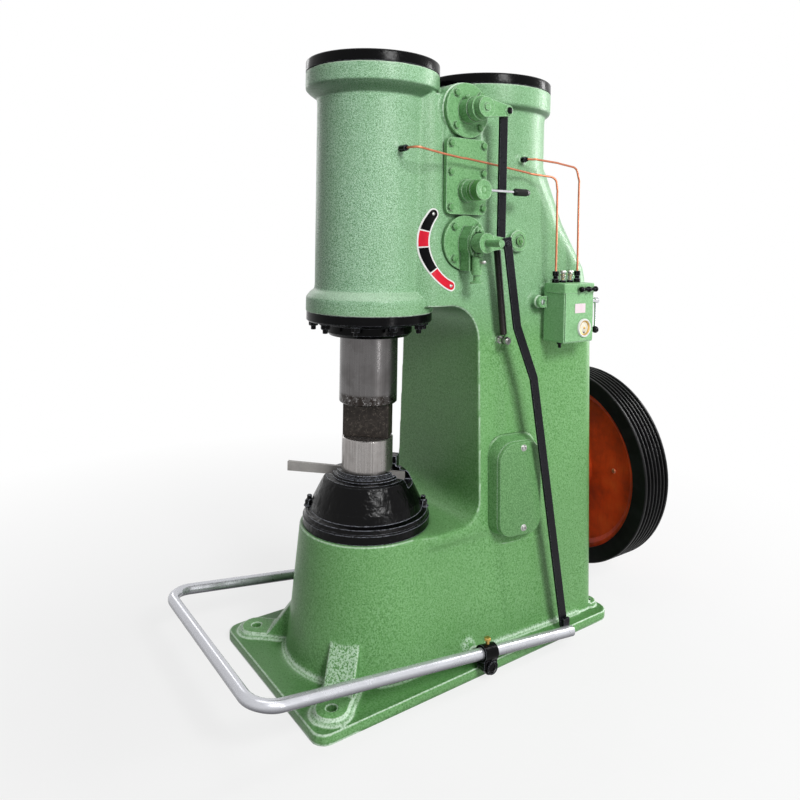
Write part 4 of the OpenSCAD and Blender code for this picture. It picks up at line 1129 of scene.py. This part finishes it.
def treadle():
    """Bent foot tube with open ends, a little flattened and crinkled in its bends."""
    x, r, front, high = 349, 17, -530, 190

    def on_tube(side, y):
        return side * x, y, high - (y - front) * 157 / 1130

    corners = [on_tube(-1, 268), on_tube(-1, front), on_tube(1, front), on_tube(1, 600)]
    path = divided(rounded(corners, 75, 22), 30)

    def dent(i, out):
        """Share of the radius at point i, towards out."""
        p = path[i]
        bent = max(0.0, 1 - max(abs(abs(p.x) - x + 22) / 34, abs(p.y - front - 22) / 34))
        inner = max(0.0, out.normalized().dot(Vector((-math.copysign(1, p.x), 1, 0)).normalized()))
        crinkle = 0.035 * bent * inner * math.sin(i * 1.9 + (2 if p.x > 0 else 0))
        upright = abs(out.normalized().z)
        return 1 - 0.05 * bent * upright + 0.02 * bent * (1 - upright) + crinkle

    s = Shape()
    s.tube(path, r, 36, dent, False)
    # the bore of each open end is painted near black: painted shade inside the tube
    for end, inner in ((path[0], path[1]), (path[-1], path[-2])):
        s.turn(end, inner - end, [(r, 0), (r - 1, -0.8), (r - 2.6, -0.8), (r - 3.2, 0), (r - 3.2, 70),
                                  (0, 70)], 36, 0, 1)
    s.build("foot_tube", "treadle", TUBE, BORE_SHADE, slot="tube_silver", replaces=("treadle_tube",), angle=50)


treadle()


def clamp_details():
    """Shaft end rings, and the brass bolts of the clamps and of the shaft's boss."""
    for side, name in ((1, "clamp_right"), (-1, "clamp_left")):
        lo, hi = box_mm(name)
        outer, x = (hi.x if side > 0 else lo.x), (lo.x + hi.x) / 2
        s = Shape()
        s.turn((outer - side * 0.5, SHAFT_Y, 50), X * side,
               [(20.5, 0), (20.5, 2), (19.5, 3), (16, 3), (15, 1)], 40)
        s.turn((x, SHAFT_Y, hi.z - 1.5), Z,
               [(0, 0), (6, 0), (6, 12), (4.5, 12), (4.5, 14), (0, 14)], 20, 0, 1)
        s.hex_bolt((x, SHAFT_Y, hi.z + 9), Z, 19, 9, 0, 0.4, 1)
        s.build(name + "_bolts", "treadle", BLACK, BRASS, slot="brass")
    top = SKIN.ray_cast(Vector((0.290, SHAFT_Y * MM, 0.5)), -Z)[0]
    at = top / MM
    s = Shape()
    s.turn(at - Z * 4, Z, [(0, 0), (6, 0), (6, 14), (0, 14)], 20)
    s.hex_bolt(at + Z * 8, Z, 19, 9, 1, 0.2)
    s.build("shaft_boss_bolt", "frame", BRASS, slot="brass")


clamp_details()


# ---------------------------------------------------- flywheel and side wall

def flywheel_details():
    """Web plug, hub bolts, the shaft's end ring and the bolts of the bearing housing."""
    s = Shape()
    s.turn((218, 970, 470), -Y, [(0, -3), (9, -3), (9, 2), (7, 4), (0, 4)], 24)
    s.build("web_plugs", "flywheel", COPPER, slot="bright_steel")
    back = box_mm("crankshaft")[1].y
    s = Shape()
    for p, a in ring((0, back - 14, WHEEL_Z), Y, 62, 6, 10):
        s.hex_bolt(p, Y, 17, 9, 2, a)
    s.turn((0, back - 9, WHEEL_Z), Y, [(40, 0), (40, 6), (38, 8.5), (20, 8.5), (18, 8), (0, 8)], 48)
    s.build("hub_bolts", "flywheel", SHAFT, slot="worked_steel")
    s = Shape()
    for p, a in ring((0, box_mm("bearing_housing")[0].y + 21, WHEEL_Z), Y, 104, 6, 30):
        s.hex_bolt(p, Y, 19, 11, 2, a)
    s.build("bearing_bolts", "frame", GREEN, slot="casting_green")


flywheel_details()


def inspection_cover():
    """Raised cover of the crank chamber on its drafted pad, with round corners and two screws."""
    foot, face = (319, 504, 379, 698), (334, 496, 382, 683)
    a, b, c = plane([(y, z, wall(y, z)) for y in (317, 518) for z in (373, 691)])
    out = Vector((1, -a, -b)).normalized()

    def level(share, inset, lift):
        """Outline at a share of the way from foot to face, drawn in by inset and raised by lift."""
        y0, y1, z0, z1 = (f + (g - f) * share + s * inset for f, g, s in zip(foot, face, (1, -1, 1, -1)))
        row = []
        for cy, cz, r, first in ((y1, z1, 50, 0), (y0, z1, 62, 90), (y0, z0, 46, 180), (y1, z0, 46, 270)):
            sy, sz = (-1 if cy == y1 else 1), (-1 if cz == z1 else 1)
            for k in range(13):
                t = math.radians(first + 90 * k / 12)
                y, z = cy + sy * r + r * math.cos(t), cz + sz * r + r * math.sin(t)
                row.append(Vector((a * y + b * z + c, y, z)) + out * lift)
        return row

    s = Shape()
    s.rings([level(*step) for step in (
        (0, -3, -6), (0, -3, 0), (0.02, 0, 3), (0.1, 0, 8), (0.78, 0, 37), (0.8, 0.9, 37.6),
        (0.82, 0.9, 38.6), (0.84, 0, 39.2), (0.98, 0, 46.5), (1, 1.2, 49), (1, 3.4, 50))])
    s.build("inspection_cover", "frame", PANEL, slot="fitting_green", replaces=("side_cover",), angle=30)
    s = Shape()
    for y, z in ((426, 664), (426, 404)):
        at = Vector((a * y + b * z + c, y, z)) + out * 49.5
        s.turn(at, out, [(0, 0), (11, 0), (11, 1.2), (10, 1.8), (8, 1.8)], 28)
        s.socket_bolt(at, out, 8, 7)
    s.build("cover_screws", "frame", ZINC, slot="bright_steel")


inspection_cover()


def strap_bar():
    """Flat bar from the foot tube to the lower lever, joggled outwards between two bends."""
    pin_y = VALVE_Y + LEVER_ARM
    path = rounded([(326, 586, 48), (326, 418, 900), (298, 367.4, 1064), (298, pin_y, 1345)], 34, 5)

    def section(at, along, half):
        """Corners of the bar, 8 mm thick and chamfered, half its width to each side."""
        wide = Vector((0, along.z, -along.y)).normalized()
        deep = along.cross(wide).normalized()
        inner = half - 0.6
        return [at + wide * u + deep * v for u, v in ((-half, -3.4), (-inner, -4), (inner, -4), (half, -3.4),
                                                      (half, 3.4), (inner, 4), (-inner, 4), (-half, 3.4))]

    rows = [section(p, (path[min(k + 1, len(path) - 1)] - path[max(k - 1, 0)]).normalized(), 15.5)
            for k, p in enumerate(path)]
    along = (path[-1] - path[-2]).normalized()
    rows += [section(path[-1] + along * reach, along, half) for reach, half in ((1.8, 14.4), (3.2, 12))]
    s = Shape()
    s.rings(rows)
    s.turn((301.5, pin_y, LEVEL_LOW), X, [(0, 0), (9, 0), (9, 4.2), (8, 5), (3, 5), (2, 4.2), (0, 4.2)], 28)
    s.build("strap_bar", "treadle_strap", STRAP, slot="black_paint", replaces=("treadle_strap",))


strap_bar()


# -------------------------------------------------------------------- stage

PAPER = 1.0
SKY = 0.085
AIM = (0, 0.2, 1.0)


def seen_directly(tree):
    """1 for camera, glossy and transmission rays."""
    path = tree.nodes.new("ShaderNodeLightPath")
    value = path.outputs["Is Camera Ray"]
    for name in ("Is Glossy Ray", "Is Transmission Ray"):
        most = tree.nodes.new("ShaderNodeMath")
        most.operation = "MAXIMUM"
        tree.links.new(value, most.inputs[0])
        tree.links.new(path.outputs[name], most.inputs[1])
        value = most.outputs[0]
    return value


def stage():
    """Pale floor that fades into the backdrop away from the object."""
    paper = Nodes("floor_paper")
    paper.link(paper.ramp(paper.noise(3.0), (0.2, rgb(204, 204, 204)), (0.8, rgb(210, 210, 210))),
               paper.shader.inputs["Base Color"])
    paper.set(Roughness=0.9, Specular_IOR_Level=0.1)
    far = paper.add("ShaderNodeVectorMath", operation="LENGTH")
    paper.link(paper.place, far.inputs[0])
    share = paper.times(paper.spread(far.outputs["Value"], 0.78, 1.0, 0.8, 2.6), seen_directly(paper.tree))
    glow = paper.fill("ShaderNodeEmission", Strength=PAPER)
    both = paper.add("ShaderNodeMixShader")
    paper.link(share, both.inputs[0])
    paper.link(paper.shader.outputs[0], both.inputs[1])
    paper.link(glow.outputs[0], both.inputs[2])
    paper.link(both.outputs[0], paper.tree.nodes["Material Output"].inputs["Surface"])
    bpy.ops.mesh.primitive_plane_add(size=60, location=(0, 0, -0.0005))
    floor = bpy.context.object
    floor.name = "floor"
    dress(floor, paper.material)


def sky():
    """Faint light all round, and the paper's white for what is seen directly."""
    world = bpy.data.worlds.new("world")
    bpy.context.scene.world = world
    world.use_nodes = True
    tree = world.node_tree
    background = tree.nodes["Background"]
    background.inputs["Color"].default_value = (1, 1, 1, 1)
    level = tree.nodes.new("ShaderNodeMapRange")
    level.inputs["To Min"].default_value = SKY
    level.inputs["To Max"].default_value = PAPER
    tree.links.new(seen_directly(tree), level.inputs["Value"])
    tree.links.new(level.outputs["Result"], background.inputs["Strength"])


def lamp(name, place, target, size, power):
    """Rectangular soft lamp; power is in watts."""
    data = bpy.data.lights.new(name, "AREA")
    data.shape = "RECTANGLE"
    data.size, data.size_y = size
    data.energy = power
    obj = linked(name, data)
    obj.location = place
    obj.rotation_mode = "QUATERNION"
    obj.rotation_quaternion = (Vector(place) - Vector(target)).to_track_quat("Z", "Y")


def camera():
    """Camera at the photograph's angle. Angles are in degrees, and the lens is for a frame of 800 pixels."""
    yaw, pitch, roll = (math.radians(v) for v in (54.0931, -1.5977, -1.01))
    frame_width = 800
    forward = Vector((-math.sin(yaw) * math.cos(pitch), math.cos(yaw) * math.cos(pitch), math.sin(pitch)))
    right = Vector((math.cos(yaw), math.sin(yaw), 0))
    up = right.cross(forward)
    side = right * math.cos(roll) - up * math.sin(roll)
    top = right * math.sin(roll) + up * math.cos(roll)
    data = bpy.data.cameras.new("camera")
    data.sensor_width = 36
    data.lens = 710.18 * data.sensor_width / frame_width
    data.shift_x = -13.498 / frame_width
    data.shift_y = -0.18
    obj = linked("camera", data)
    m = Matrix((side, top, -forward)).transposed().to_4x4()
    m.translation = Vector((1.9283, -1.2251, 1.3475))
    obj.matrix_world = m
    bpy.context.scene.camera = obj


stage()
sky()
lamp("key", (4.0, -0.25, 3.6), AIM, (1.3, 1.3), 170)
lamp("strip", (0.9, 4.0, 1.8), AIM, (0.7, 2.6), 100)
lamp("left", (-3.7, 0.0, 2.4), AIM, (0.8, 2.2), 13)
lamp("band", (3.9, 0.55, 1.15), (0, 0.0, 1.0), (0.3, 2.0), 20)
lamp("top", (0.2, 0.0, 4.4), (0, 0.3, 1.0), (2.2, 2.2), 24)
camera()

bpy.context.scene.view_settings.view_transform = "Standard"
